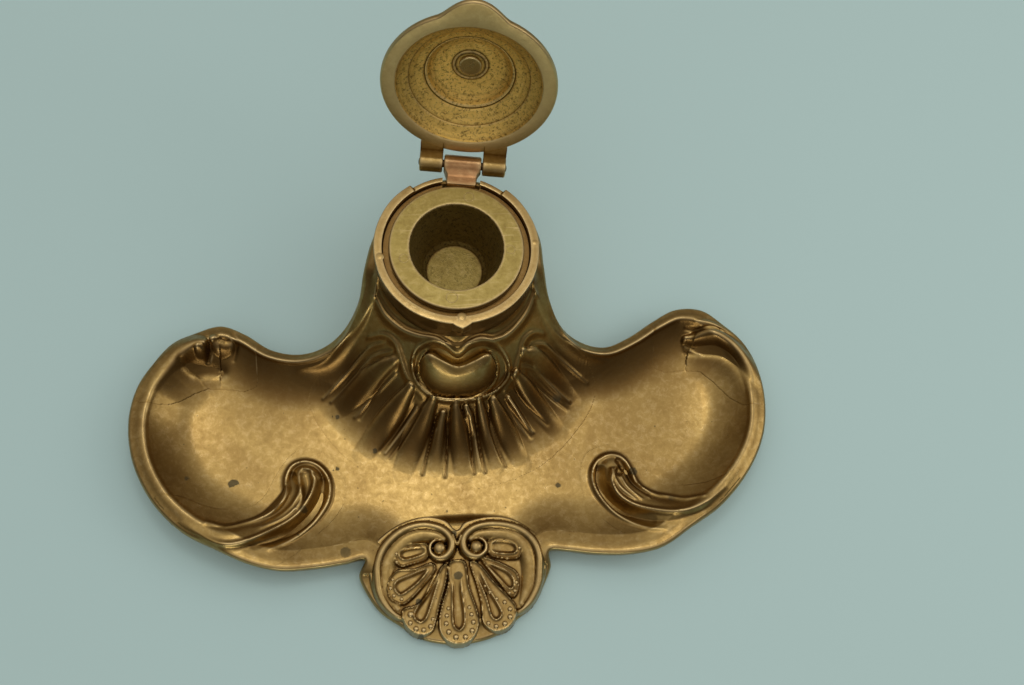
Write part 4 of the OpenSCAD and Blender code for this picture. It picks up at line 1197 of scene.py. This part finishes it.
# How deep its border is sunk, the width of its rounded border, and how low it reaches where
# it stands out over the tray's edge
SHELL_SINK = 1.2
SHELL_EDGE = 0.9
SHELL_OUTSIDE_Z = 2.4
SHELL_OUTLINE = (
    (-31, -90), (-29, -84), (-23.4, -79), (-17, -76.2), (-11, -75.4), (-5.6, -77), (-2.2, -80.4),
    (0.6, -77.8), (8, -76.2), (15, -77), (21, -80.4), (25.6, -85.4), (26.6, -90), (25.8, -97),
    (22, -103.6), (17, -106.8), (12, -108), (4, -109), (-3, -110), (-9.4, -109), (-16, -108),
    (-23, -107.4), (-28, -103), (-30.4, -97),
)
# Beads round the ends of the lobes: x, y, share of the full size
SHELL_BEADS = (
    (-6, -105.4, 0.8), (-6.6, -107.6, 0.9), (-6.9, -110, 1), (-6.2, -112.6, 1.1), (-4, -114.3, 1.15),
    (-1, -114.4, 1.1), (1.2, -112.6, 1.1), (1.7, -110, 1), (1.2, -107.6, 0.9), (0.6, -105.4, 0.8),
    (-17.9, -106.6, 1.3), (-18.1, -109.2, 1), (-16.4, -111.1, 1.1), (-14, -111.6, 1), (-11.8, -110.6, 1),
    (-11, -108.4, 0.8), (6.4, -110.6, 0.9), (8.8, -111.7, 1), (11.6, -111, 1.1), (13.4, -109, 1.1),
    (13.5, -106.6, 1), (11.9, -104.4, 0.9), (6, -99, 0.7), (7.4, -101, 0.8), (9.4, -103.2, 0.8),
    (-20.6, -101.8, 0.8), (-23, -100.6, 0.8), (-24, -98.2, 0.8), (-23.2, -95.6, 0.7), (15.4, -101, 0.8),
    (13.6, -101.6, 0.7), (16, -98.4, 0.8), (-21.8, -90.2, 0.7), (-21.8, -87.6, 0.7), (17.6, -87.6, 0.7),
)


def shell_height(form, settings, x, y):
    """Depth inside the shell's shapes, and the height of its surface there."""
    depth = area_depth(x, y, SHELL_OUTLINE, 4)
    crests, lobes = highest(x, y, SHELL_BANDS, soft_back), np.zeros(x.shape)
    for rows in SHELL_STRAPS:
        distance, (half, rise) = nearest(x, y, smooth_line(rows))
        crests = np.maximum(crests, rise * round_back(distance / half))
        depth = np.maximum(depth, half + 0.3 - distance)
    rise = settings.lobe_rise / MM
    for outline in SHELL_LOBES:
        inside = area_depth(x, y, outline)
        panel = (rise - 0.5) * smooth(inside / 0.4) + 0.5 * np.exp(-((inside - 0.45) / 0.34) ** 2)
        lobes = np.maximum(lobes, np.where(inside > -0.3, panel, 0))
        depth = np.maximum(depth, inside)
    flute = settings.flute / MM
    for outline in SHELL_FLUTES:
        inside = area_depth(x, y, outline)
        from_hub = smooth((np.hypot(x - SHELL_HUB[0], y - SHELL_HUB[1]) - 8) / 6)
        lobes += from_hub * (0.45 * np.exp(-(inside / 0.34) ** 2) - flute * smooth(inside / 1.1))
    height = np.maximum(lobes, crests)
    for eye_x, eye_y in SHELL_EYES:
        out = np.hypot(x - eye_x, y - eye_y)
        dome = EYE_Z + EYE_RISE * round_back(out / EYE_R)
        height = np.where(out < EYE_R, np.maximum(height, dome), height)
    return depth, form.plate(y) + height


def build_shell(form, settings):
    reach = [(x, y) for outline in SHELL_LOBES + (SHELL_OUTLINE,) for x, y in outline]
    x, y = plan_grid(np.array(reach) * 1.01, SHELL_STEP)
    ground = np.where(form.crossed_in(x, y), form.surface(x, y)[0], SHELL_OUTSIDE_Z)
    depth, height = shell_height(form, settings, x, y)
    low = ground - SHELL_SINK
    top = lerp(low, height, round_back(1 - np.clip(depth / SHELL_EDGE, 0, 1)))
    return build_slab("tray_shell", x, y, top, np.minimum(top, low) - 0.5, depth > -0.3)


# Repeated things, placed by Geometry Nodes
def scatter(name, places, sizes, kind, finish, values):
    """One mesh of a bead or ring on every place, made by a node group and then applied."""
    made = make_mesh(name, places)
    paint(made, "size", sizes)
    group = bpy.data.node_groups.new(name, "GeometryNodeTree")
    group.interface.new_socket("Geometry", in_out="INPUT", socket_type="NodeSocketGeometry")
    for label in values:
        group.interface.new_socket(label, in_out="INPUT", socket_type="NodeSocketFloat")
    group.interface.new_socket("Geometry", in_out="OUTPUT", socket_type="NodeSocketGeometry")
    entry = group.nodes.new("NodeGroupInput")
    if kind == "bead":
        ball = add_node(group, "GeometryNodeMeshIcoSphere", {"Radius": entry.outputs["Radius"],
                                                             "Subdivisions": 3})
        flat = add_node(group, "ShaderNodeCombineXYZ", {"X": 1.0, "Y": 1.0, "Z": entry.outputs["Flatness"]})
        item = add_node(group, "GeometryNodeTransform", {"Geometry": ball, "Scale": flat})
    else:
        path, section = (
            add_node(group, "GeometryNodeCurvePrimitiveCircle", {"Radius": entry.outputs[label],
                                                                 "Resolution": sides})
            for label, sides in (("Radius", 40), ("Section", 10)))
        item = add_node(group, "GeometryNodeCurveToMesh", {"Curve": path, "Profile Curve": section})
    size = add_node(group, "GeometryNodeInputNamedAttribute", {"Name": "size"}, data_type="FLOAT")
    copies = add_node(group, "GeometryNodeInstanceOnPoints", {"Points": entry.outputs[0], "Instance": item,
                                                              "Scale": size})
    real = add_node(group, "GeometryNodeRealizeInstances", {"Geometry": copies})
    shaded = add_node(group, "GeometryNodeSetMaterial", {"Geometry": real, "Material": finish})
    add_node(group, "NodeGroupOutput", {0: shaded})
    modifier = made.modifiers.new(name, "NODES")
    modifier.node_group = group
    for item_socket in group.interface.items_tree:
        if item_socket.in_out == "INPUT" and item_socket.name in values:
            modifier[item_socket.identifier] = values[item_socket.name]
    apply_modifiers(made)
    return made


# The collar, its lug and pin
RIM_OUT = 26.0
RIM_IN = 23.3
RIM_LOW_BACK = (50.0, 121.8)
PAD_AZ = -88.9
LEDGE_Z = 48.2
LUG_HALF = 6.0
KNUCKLE_R = 3.0
KNUCKLE_IN = 6.45
KNUCKLE_OUT = 13.9
PIN_R = 1.25
PIN_END = 14.3
# Round marks that the mould's ejectors left: angle, radius, size
RIM_MARKS = ((-173.7, 24.3, 1.0), (2.2, 24.8, 1.0), (-88.9, 23.9, 1.15))
FLANGE_MARKS = ((74.6, 17.8, 0.9), (-5.2, 16.9, 0.8), (-97.6, 17.4, 0.95), (-167.6, 17, 0.8))


def angle_apart(az, centre):
    return np.abs((az - centre + 180) % 360 - 180)


def build_collar():
    profile = rounded(((HOLE_R, 43), (22, 36), (25.4, 36), (RIM_OUT, 44), (RIM_OUT, RIM_Z),
                       (RIM_IN, RIM_Z), (RIM_IN, LEDGE_Z), (HOLE_R, LEDGE_Z)), 0.4, arc=5)
    profile = np.vstack([refine(profile, 1.6), profile[:1] + 1e-3])[:-1]
    around = 720
    points = turned(profile, around)
    az = np.degrees(np.arange(around) * 2 * math.pi / around)
    low_from, low_to = RIM_LOW_BACK
    inside = angle_apart(az, (low_from + low_to) / 2) - (low_to - low_from) / 2
    lower = smooth(-inside / 1.2 + 0.5)
    pad_across = angle_apart(az, PAD_AZ) / 6.5
    pad = np.clip(1 - pad_across, 0, 1) ** 0.8
    r = np.hypot(points[..., 0], points[..., 1])
    out_share = smooth((r - RIM_IN - 1) / 1) * smooth((points[..., 2] - 44) / 1)
    top_share = smooth((points[..., 2] - 49.4) / 0.6)
    # Hand-finished: the rim is a little uneven
    uneven = 0.05 * np.sin(np.radians(az) * 5 + 1) + 0.04 * np.sin(np.radians(az) * 11)
    out = out_share * (uneven - 1.0 * lower + 1.6 * pad)
    points[..., :2] *= ((r + out) / r)[..., None]
    points[..., 2] -= top_share * (0.5 * lower - 0.4 * uneven)
    made = make_mesh("tray_collar", well_frame(points.reshape(-1, 3)),
                     join_grid(len(profile), around, wrap_rows=True))
    face_outwards(made)
    corners = [(x, y, z) for x in (-LUG_HALF - 0.05, LUG_HALF + 0.05) for y in (-10.0, 1.0)
               for z in (-1.5, 6.0)]
    notch = make_mesh("notch", hinge_frame(corners),
                      [(0, 1, 3, 2), (4, 6, 7, 5), (0, 4, 5, 1), (2, 3, 7, 6), (0, 2, 6, 4), (1, 5, 7, 3)])
    face_outwards(notch)
    cut(made, notch)
    return made


def section_along(stations, section):
    """A closed piece from a closed section y, z set at stations along x of x, inset, with caps."""
    rows = []
    centre = section.mean(0)
    away = section - centre
    reach = np.linalg.norm(away, axis=1)[:, None]
    for x, inset in stations:
        ring = centre + away * (1 - inset / reach)
        rows.append(np.column_stack([np.full(len(ring), x), ring]))
    points = np.vstack(rows)
    n = len(section)
    faces = join_grid(len(rows), n).tolist()
    faces.append(list(range(n)))
    faces.append(list(range((len(rows) - 1) * n, len(rows) * n)))
    return points, faces


def bevelled(half, bevel, inner=9):
    """Stations from -half to half with rounded ends."""
    turn = np.linspace(0, math.pi / 2, 6)
    ends = [(-half + bevel * (1 - math.sin(t)), bevel * (1 - math.cos(t))) for t in turn[::-1]]
    middle = [(x, 0) for x in np.linspace(-half + bevel, half - bevel, inner)[1:-1]]
    return ends + middle + [(-x, inset) for x, inset in ends[::-1]]


def barrel_section(degrees, foot):
    """The round of a knuckle over those angles, closed by its foot or strap."""
    barrel = [(KNUCKLE_R * math.cos(t), KNUCKLE_R * math.sin(t)) for t in np.radians(degrees)]
    return np.vstack([barrel, refine(np.array(foot), 0.6)])


def turned_pin(name, profile, around):
    """A closed piece turned about the hinge's axis, from a profile of radius, place along it."""
    points = turned(profile, around).reshape(-1, 3)[:, [2, 0, 1]]
    made = make_mesh(name, hinge_frame(points), join_grid(len(profile), around))
    face_outwards(made)
    return made


def build_lug():
    foot = ((-3, 1.6), (-4.6, 1.0), (-7.5, 0.9), (-7.5, -1.45), (-4, -1.5))
    section = barrel_section(range(-150, 139, 9), foot)
    points, faces = section_along(bevelled(LUG_HALF, 0.6), section)
    taper = lerp(1, 0.78, smooth((-points[:, 1] - 2.2) / 2.5))
    points[:, 0] *= taper
    # A crease across the barrel where it was filed flat
    points[:, 2] -= 0.16 * np.exp(-((points[:, 1] + 1.4) / 0.4) ** 2) * (points[:, 2] > 1.5)
    made = make_mesh("hinge_lug_piece", hinge_frame(points), faces)
    face_outwards(made)
    return made


def build_pin():
    ends = [(PIN_R * math.sin(t), 0.5 * math.cos(t)) for t in np.linspace(0, math.pi / 2, 7)]
    length = PIN_END - 0.5
    profile = [(r, length + z) for r, z in ends] + [(r, -length - z) for r, z in ends[::-1]]
    return turned_pin("hinge_pin_piece", profile, 48)


# The lid
LID_INSIDE = ((22.7, 0.0), (22.5, 0.5), (22.2, 1.2), (20.9, 2.4), (18.95, 3.55), (18.75, 4.0), (17, 5.3),
              (14.5, 6.3), (14.1, 6.9), (13.6, 6.9), (13.2, 7.2), (12.5, 8.6), (11.3, 9.7), (9, 10.5),
              (6.6, 10.85), (5.7, 10.9), (5.4, 10.6), (5, 10.55), (4.6, 10.9), (2.3, 11.0))
LID_OUTSIDE = ((2.3, 13.4), (6, 13.4), (10, 12.9), (13, 12), (15.2, 10.4), (16, 8.6), (19.5, 7.4),
               (22.4, 5.6), (24, 3.4), (26.2, 2.8), (27.2, 1.8), (27.2, 0.5), (26.8, 0))
TAB_AZ = -90.0


def lid_place(points):
    return swung_open(np.asarray(points) + np.array([0, -HINGE_BACK, LID_Z]))


def build_lid(settings):
    shift = settings.rim / MM - 27.2
    profile = np.array(LID_INSIDE + LID_OUTSIDE)
    profile[profile[:, 0] > 25, 0] += shift
    profile = refine(rounded(profile, 0.35, arc=3), 0.6)
    around = 480
    points = turned(profile, around)
    az = np.degrees(np.arange(around) * 2 * math.pi / around)
    r = np.hypot(points[..., 0], points[..., 1])
    across = np.clip(angle_apart(az, TAB_AZ) / 24, 0, 1)
    tab = (settings.tab / MM) * (0.5 + 0.5 * np.cos(math.pi * across)) ** 0.8
    out = tab * smooth((r - 24.6) / 2.2)
    points[..., :2] *= ((r + out) / r)[..., None]
    points[..., 2] -= 0.25 * out * (points[..., 2] > 1.5)
    made = make_mesh("lid_dome", lid_place(points.reshape(-1, 3)),
                     join_grid(len(profile), around, wrap_rows=True))
    r_flat = r.reshape(-1)
    z_flat = points[..., 2].reshape(-1)
    inside = (r_flat < 22.65) & (z_flat < profile_top(r_flat) - 1.2)
    paint(made, "sand", inside * 1.0)
    # Painted shade inside the lid: a dark ring round the knob's hollow, and a little towards the rim
    ring = inside * smooth(1 - np.abs(r_flat - 4.6) / 1.4)
    paint(made, "shade", np.maximum(ring * 0.6, inside * 0.2 * smooth((r_flat - 15) / 6)))
    face_outwards(made)
    return made


def profile_top(r):
    """Height of the lid's outside at a radius."""
    rows = np.array(LID_OUTSIDE)
    return np.interp(r, rows[:, 0], rows[:, 1])


def build_knuckles():
    """Two knuckles with the straps that join them to the lid's rim, in the lid's closed place."""
    made = []
    strap = ((-2.6, LID_Z + 1.1), (-7.2, LID_Z + 1.1), (-7.2, LID_Z + 0.02), (-3, LID_Z + 0.02))
    section = barrel_section(range(-170, 131, 10), strap)
    half = (KNUCKLE_OUT - KNUCKLE_IN) / 2
    for side, name in ((-1, "lid_knuckle_left"), (1, "lid_knuckle_right")):
        points, faces = section_along(bevelled(half, 0.55), section)
        points[:, 0] += side * (KNUCKLE_IN + KNUCKLE_OUT) / 2
        piece = make_mesh(name, swung_open(points), faces)
        face_outwards(piece)
        bore_r = PIN_R + 0.05
        cut(piece, turned_pin("drill", ((0, -20), (bore_r, -20), (bore_r, 20), (0, 20)), 64))
        made.append(piece)
    return made


KNOB = ((0, 10.1), (3.4, 10.1), (3.65, 10.4), (3.65, 10.8), (2.25, 10.95), (2.25, 13.45), (5, 13.45),
        (5.2, 14), (4.6, 14.6), (2.8, 15.3), (2.6, 16.2), (4.4, 17.6), (5.3, 19.4), (5, 21.4), (3.6, 23),
        (1.4, 23.8), (0, 24))
CUP = ((0, -21.5), (10.1, -21.5), (14.2, -17.9), (15.6, -14.5), (16.6, -2.5), (21.3, -2.5), (21.3, -0.4),
       (20.9, 0), (15.05, 0), (14.75, -0.3), (14.3, -4), (10.5, -17.6), (9.1, -19.5), (0, -19.5))


def build_knob():
    profile = refine(rounded(KNOB, 0.5, arc=4, closed=False), 0.5)
    return turned_piece("lid_knob_piece", profile, 96, place=lid_place)


def build_cup():
    profile = np.array(CUP, float)
    profile[:, 1] += LINER_TOP
    profile = refine(rounded(profile, 0.45, arc=4, closed=False), 0.5)
    around = 240
    points = turned(profile, around).reshape(-1, 3)
    r = np.hypot(points[:, 0], points[:, 1])
    az = np.arctan2(points[:, 1], points[:, 0])
    made = make_mesh("ink_cup", well_frame(points), join_grid(len(profile), around))
    depth = LINER_TOP - points[:, 2]
    upper = np.arange(len(points)) // around > len(profile) * 0.45
    wall = upper & (r < 14.95) & (r > 9.3)
    paint(made, "sand", np.where(wall, 1.0, np.where(upper & (r < 9.3), 0.5, 0.1)))
    # Painted shade: darker deeper down the cup's wall, and on the flange's outer edge
    edge_shade = 0.35 * smooth((r - 20.3) / 0.8)
    paint(made, "shade", np.where(wall, 0.1 + 0.25 * smooth(depth / 12), edge_shade * upper))
    paint(made, "scratched", (upper & (depth < 0.2)) * (0.6 + 0.4 * np.sin(az * 3 + 1)))
    face_outwards(made)
    return made


# Operators
def settings_of(context):
    return context.scene.inkstand


class InkstandSettings(bpy.types.PropertyGroup):
    casting: PointerProperty(type=InkstandCasting, name="Casting", description="The cast tray")
    shell: PointerProperty(type=InkstandShell, name="Shell", description="The shell at the front")
    lid: PointerProperty(type=InkstandLid, name="Lid", description="The hinged lid")
    finish: PointerProperty(type=InkstandFinish, name="Finish", description="Colours of the metals")
    stage: PointerProperty(type=InkstandStage, name="Stage", description="Floor, lights and camera")


def tray_finish(colours):
    found = bpy.data.materials.get("tray_cast_brass")
    return found or cast_brass("tray_cast_brass", colours, 0.3, pits=True)


def paint_casting(made, form, place=None):
    """Paints where the cast tray has spots, and where it is darkened by painted shade: in the
    well's throat under the collar, and on the walls that face the front. The border of a piece of
    fine relief shows no false hollows."""
    x, y, z = from_well(made).T
    if place:
        name, _, outline = place
        depth = form.place_depth(name, outline, x, y, form.beside(x, y)[0])
        paint(made, "calm", smooth((depth - 0.8) / 1.2))
    paint(made, "pitted", smooth((12 - z) / 4) * smooth((-30 - y) / 6))
    # Painted shade: in the throat under the collar, and on the walls that face the front
    throat = smooth((31 - np.hypot(x, y)) / 4) * smooth((49 - z) / 2) * smooth((2 - y) / 12)
    _, across, up = numbers_of(made.data.vertex_normals, "vector", 3).T
    wall = smooth((-0.12 - across) / 0.34) * smooth((up - 0.05) / 0.1) * smooth((y + 62) / 10)
    paint(made, "shade", np.maximum(0.8 * throat, 0.9 * wall * smooth((34 - z) / 20)))


class BuildInkstandCasting(bpy.types.Operator):
    """Builds the cast tray with its relief and the shell at its front"""
    bl_idname = "inkstand.casting"
    bl_label = "Casting and shell"

    def execute(self, context):
        settings = settings_of(context)
        form = CastingForm(settings.casting)
        finish = tray_finish(settings.finish)
        pieces = [(build_casting(form), None), (build_shell(form, settings.shell), None)]
        pieces += [(build_relief(form, *place), place) for place in RELIEF_PLACES]
        for made, place in pieces:
            paint_casting(made, form, place)
            dress(made, finish, "stand", ("tray",))
        x, y, sizes = np.array(SHELL_BEADS).T
        _, height = shell_height(form, settings.shell, x, y)
        beads = scatter("tray_shell_beads", well_frame(np.column_stack([x, y, height - 0.1])), sizes,
                        "bead", finish, {"Radius": settings.shell.bead, "Flatness": 0.8})
        dress(beads, finish, "stand", ("tray",))
        return {"FINISHED"}


class BuildInkstandCollar(bpy.types.Operator):
    """Builds the collar round the well with its ejector marks"""
    bl_idname = "inkstand.collar"
    bl_label = "Collar"

    def execute(self, context):
        finish = tray_finish(settings_of(context).finish)
        made = build_collar()
        x, y, z = from_well(made).T
        # Painted shade in the recess inside the rim and on the collar's lower part, below the ledge
        recess = smooth((RIM_IN + 0.1 - np.hypot(x, y)) / 0.3)
        paint(made, "shade", 0.8 * recess + 0.4 * smooth((48 - z) / 2))
        dress(made, finish, "stand", ("tray",))
        marks = scatter("tray_collar_marks", ring_places(RIM_MARKS, RIM_Z - 0.26), [s for *_, s in RIM_MARKS],
                        "bead", finish, {"Radius": 1.5 * MM, "Flatness": 0.24})
        dress(marks, finish, "stand", ("tray",))
        return {"FINISHED"}


def ring_places(marks, z):
    return well_frame([(r * math.cos(math.radians(az)), r * math.sin(math.radians(az)), z)
                       for az, r, _ in marks])


class BuildInkstandHinge(bpy.types.Operator):
    """Builds the hinge's lug and pin"""
    bl_idname = "inkstand.hinge"
    bl_label = "Hinge"

    def execute(self, context):
        colours = settings_of(context).finish
        lug = cast_brass("hinge_lug_brass", colours, 0.36, colours.copper, grain=0.2)
        dress(build_lug(), lug, "stand", ("hinge_lug",))
        dress(build_pin(), pin_wire("hinge_pin_wire", colours.wire), "stand", ("hinge_pin",))
        return {"FINISHED"}


class BuildInkstandLid(bpy.types.Operator):
    """Builds the domed lid with its knuckles and knob"""
    bl_idname = "inkstand.lid"
    bl_label = "Lid"

    def execute(self, context):
        settings = settings_of(context)
        colours = settings.finish
        finish = cast_brass("lid_cast_brass", colours, 0.38, raw_and_lit=colours.raw_and_lit, grain=0.2, brown_share=0.3,
                            sand=True)
        dress(build_lid(settings.lid), finish, "lid", ("lid",))
        for piece in build_knuckles():
            dress(piece, finish, "lid", ("lid",))
        knob = cast_brass("knob_turned_brass", colours, 0.28, grain=0.08)
        dress(build_knob(), knob, "lid", ("lid_knob",))
        return {"FINISHED"}


class BuildInkstandCup(bpy.types.Operator):
    """Builds the lift-out ink cup"""
    bl_idname = "inkstand.cup"
    bl_label = "Ink cup"

    def execute(self, context):
        colours = settings_of(context).finish
        finish = cast_brass("liner_raw_brass", colours, 0.4, colours.flange, grain=0.2, brown_share=0.25,
                            sand=True, scratched=True)
        dress(build_cup(), finish, "liner", ("ink_liner",))
        marks = scatter("ink_cup_marks", ring_places(FLANGE_MARKS, LINER_TOP),
                        [s for *_, s in FLANGE_MARKS], "ring", finish,
                        {"Radius": 1.8 * MM, "Section": 0.12 * MM})
        dress(marks, finish, "liner", ("ink_liner",))
        return {"FINISHED"}


# Where the photograph was taken from, in millimetres and degrees
CAMERA_PLACE = (-20.3145, -133.3025, 391.9309)
CAMERA_PITCH = 68.8044
CAMERA_YAW = 16.0647
CAMERA_ROLL = 13.2374


def camera_turn():
    """The camera's axes for the photograph's pitch, yaw and roll."""
    pitch, yaw, roll = (math.radians(a) for a in (CAMERA_PITCH, CAMERA_YAW, CAMERA_ROLL))
    forward = Vector((math.sin(yaw) * math.cos(pitch), math.cos(yaw) * math.cos(pitch), -math.sin(pitch)))
    right = Vector((math.cos(yaw), -math.sin(yaw), 0))
    up = right.cross(forward)
    right, up = (right * math.cos(roll) + up * math.sin(roll),
                 up * math.cos(roll) - right * math.sin(roll))
    return Matrix((right, up, -forward)).transposed().to_4x4()


def area_light(name, place_mm, aim_mm, size_mm, watts, colour):
    data = bpy.data.lights.new(name, "AREA")
    data.shape = "RECTANGLE"
    data.size, data.size_y = size_mm[0] * MM, size_mm[1] * MM
    data.energy = watts
    data.color = colour
    light = place_object(name, data)
    light.location = Vector(place_mm) * MM
    light.rotation_euler = (Vector(aim_mm) - Vector(place_mm)).to_track_quat("-Z", "Y").to_euler()


FLOOR_REACH = 3000
# Area lights: name, place, what they are aimed at, size, colour
LIGHTS = (
    ("key", (5, 140, 700), (0, -30, 10), (150, 150), (1, 0.96, 0.9)),
    ("fill", (640, -40, 480), (0, -30, 10), (420, 420), (1, 0.98, 0.94)),
    ("front", (-60, -700, 60), (0, 70, 90), (300, 90), (1, 0.97, 0.88)),
)
# The room round the stand, dim and warm low down and light overhead, as sine of elevation and
# colour. It is darker in front.
STUDIO = ((0, "#6c645a"), (0.5, "#9a948c"), (0.87, "#cac7c3"), (1, "#eae8e5"))


class BuildInkstandStage(bpy.types.Operator):
    """Sets up the plain floor, the soft lights and the camera"""
    bl_idname = "inkstand.stage"
    bl_label = "Floor, light and camera"

    def execute(self, context):
        settings = settings_of(context).stage
        scene = context.scene
        corners = [(x * FLOOR_REACH, y * FLOOR_REACH, 0) for x, y in ((-1, -1), (1, -1), (1, 1), (-1, 1))]
        floor = make_mesh("stage_floor", corners, [(0, 1, 2, 3)])
        # Matt pale paper, even and with hardly a sheen
        paper, tree = new_tree("stage_paper")
        shader = add_node(tree, "ShaderNodeBsdfPrincipled", {"Base Color": settings.floor, "Roughness": 0.9,
                                                             "Specular IOR Level": 0.2})
        add_node(tree, "ShaderNodeOutputMaterial", {"Surface": shader})
        floor.data.materials.append(paper)
        for name, place, aim, size, colour in LIGHTS:
            area_light(name + "_light", place, aim, size, getattr(settings, name), colour)
        world = scene.world or bpy.data.worlds.new("studio")
        scene.world = world
        world.use_nodes = True
        tree = world.node_tree
        tree.nodes.clear()
        direction = add_node(tree, "ShaderNodeTexCoord", out="Generated")
        axes = add_node(tree, "ShaderNodeSeparateXYZ", {"Vector": direction}).node.outputs
        colour = add_node(tree, "ShaderNodeValToRGB", {"Fac": axes["Z"]})
        ramp = colour.node.color_ramp
        for place, _ in STUDIO[1:-1]:
            ramp.elements.new(place)
        for stop, (place, code) in zip(ramp.elements, STUDIO):
            stop.position = place
            stop.color = (*linear(code), 1)
        low = add_node(tree, "ShaderNodeMapRange", {"Value": axes["Z"], "From Min": 0.85, "From Max": 0.5,
                                                    "To Max": 0.62})
        front = add_node(tree, "ShaderNodeMapRange", {"Value": axes["Y"], "From Min": 0.18,
                                                      "From Max": -0.1})
        front = add_node(tree, "ShaderNodeMath", {0: front, 1: low}, operation="MULTIPLY")
        colour = add_node(tree, "ShaderNodeMix", {0: front, 6: colour, 7: (0, 0, 0)}, 2, data_type="RGBA")
        sky = add_node(tree, "ShaderNodeBackground", {"Color": colour, "Strength": settings.sky})
        add_node(tree, "ShaderNodeOutputWorld", {"Surface": sky})
        camera_data = bpy.data.cameras.new("photo_camera")
        camera_data.sensor_width = 36
        camera_data.lens = settings.lens
        camera_data.clip_start = 0.01
        camera = place_object("photo_camera", camera_data)
        camera.matrix_world = Matrix.Translation(Vector(CAMERA_PLACE) * MM) @ camera_turn()
        scene.camera = camera
        scene.view_settings.view_transform = "Standard"
        return {"FINISHED"}


BUILDERS = (BuildInkstandStage, BuildInkstandCasting, BuildInkstandCollar, BuildInkstandHinge,
            BuildInkstandLid, BuildInkstandCup)
GROUPS = (InkstandCasting, InkstandShell, InkstandLid, InkstandFinish, InkstandStage)


class InkstandPanel(bpy.types.Panel):
    """Sizes, colours and builders of the inkstand"""
    bl_idname = "VIEW3D_PT_inkstand"
    bl_label = "Inkstand"
    bl_space_type = "VIEW_3D"
    bl_region_type = "UI"
    bl_category = "Inkstand"

    def draw(self, context):
        settings = settings_of(context)
        for part in ("casting", "shell", "lid", "finish", "stage"):
            box = self.layout.box()
            box.label(text=part.capitalize())
            group = getattr(settings, part)
            for name in group.bl_rna.properties.keys():
                if name not in ("rna_type", "name"):
                    box.prop(group, name)
        for builder in BUILDERS:
            self.layout.operator(builder.bl_idname)


def register():
    for made in (*GROUPS, InkstandSettings, *BUILDERS, InkstandPanel):
        bpy.utils.register_class(made)
    bpy.types.Scene.inkstand = PointerProperty(type=InkstandSettings, name="Inkstand",
                                               description="Sizes and colours of the inkstand")


def unregister():
    del bpy.types.Scene.inkstand
    for made in (InkstandPanel, *reversed(BUILDERS), InkstandSettings, *reversed(GROUPS)):
        bpy.utils.unregister_class(made)


def main():
    register()
    for builder in BUILDERS:
        group, name = builder.bl_idname.split(".")
        getattr(getattr(bpy.ops, group), name)()


if __name__ == "__main__":
    main()
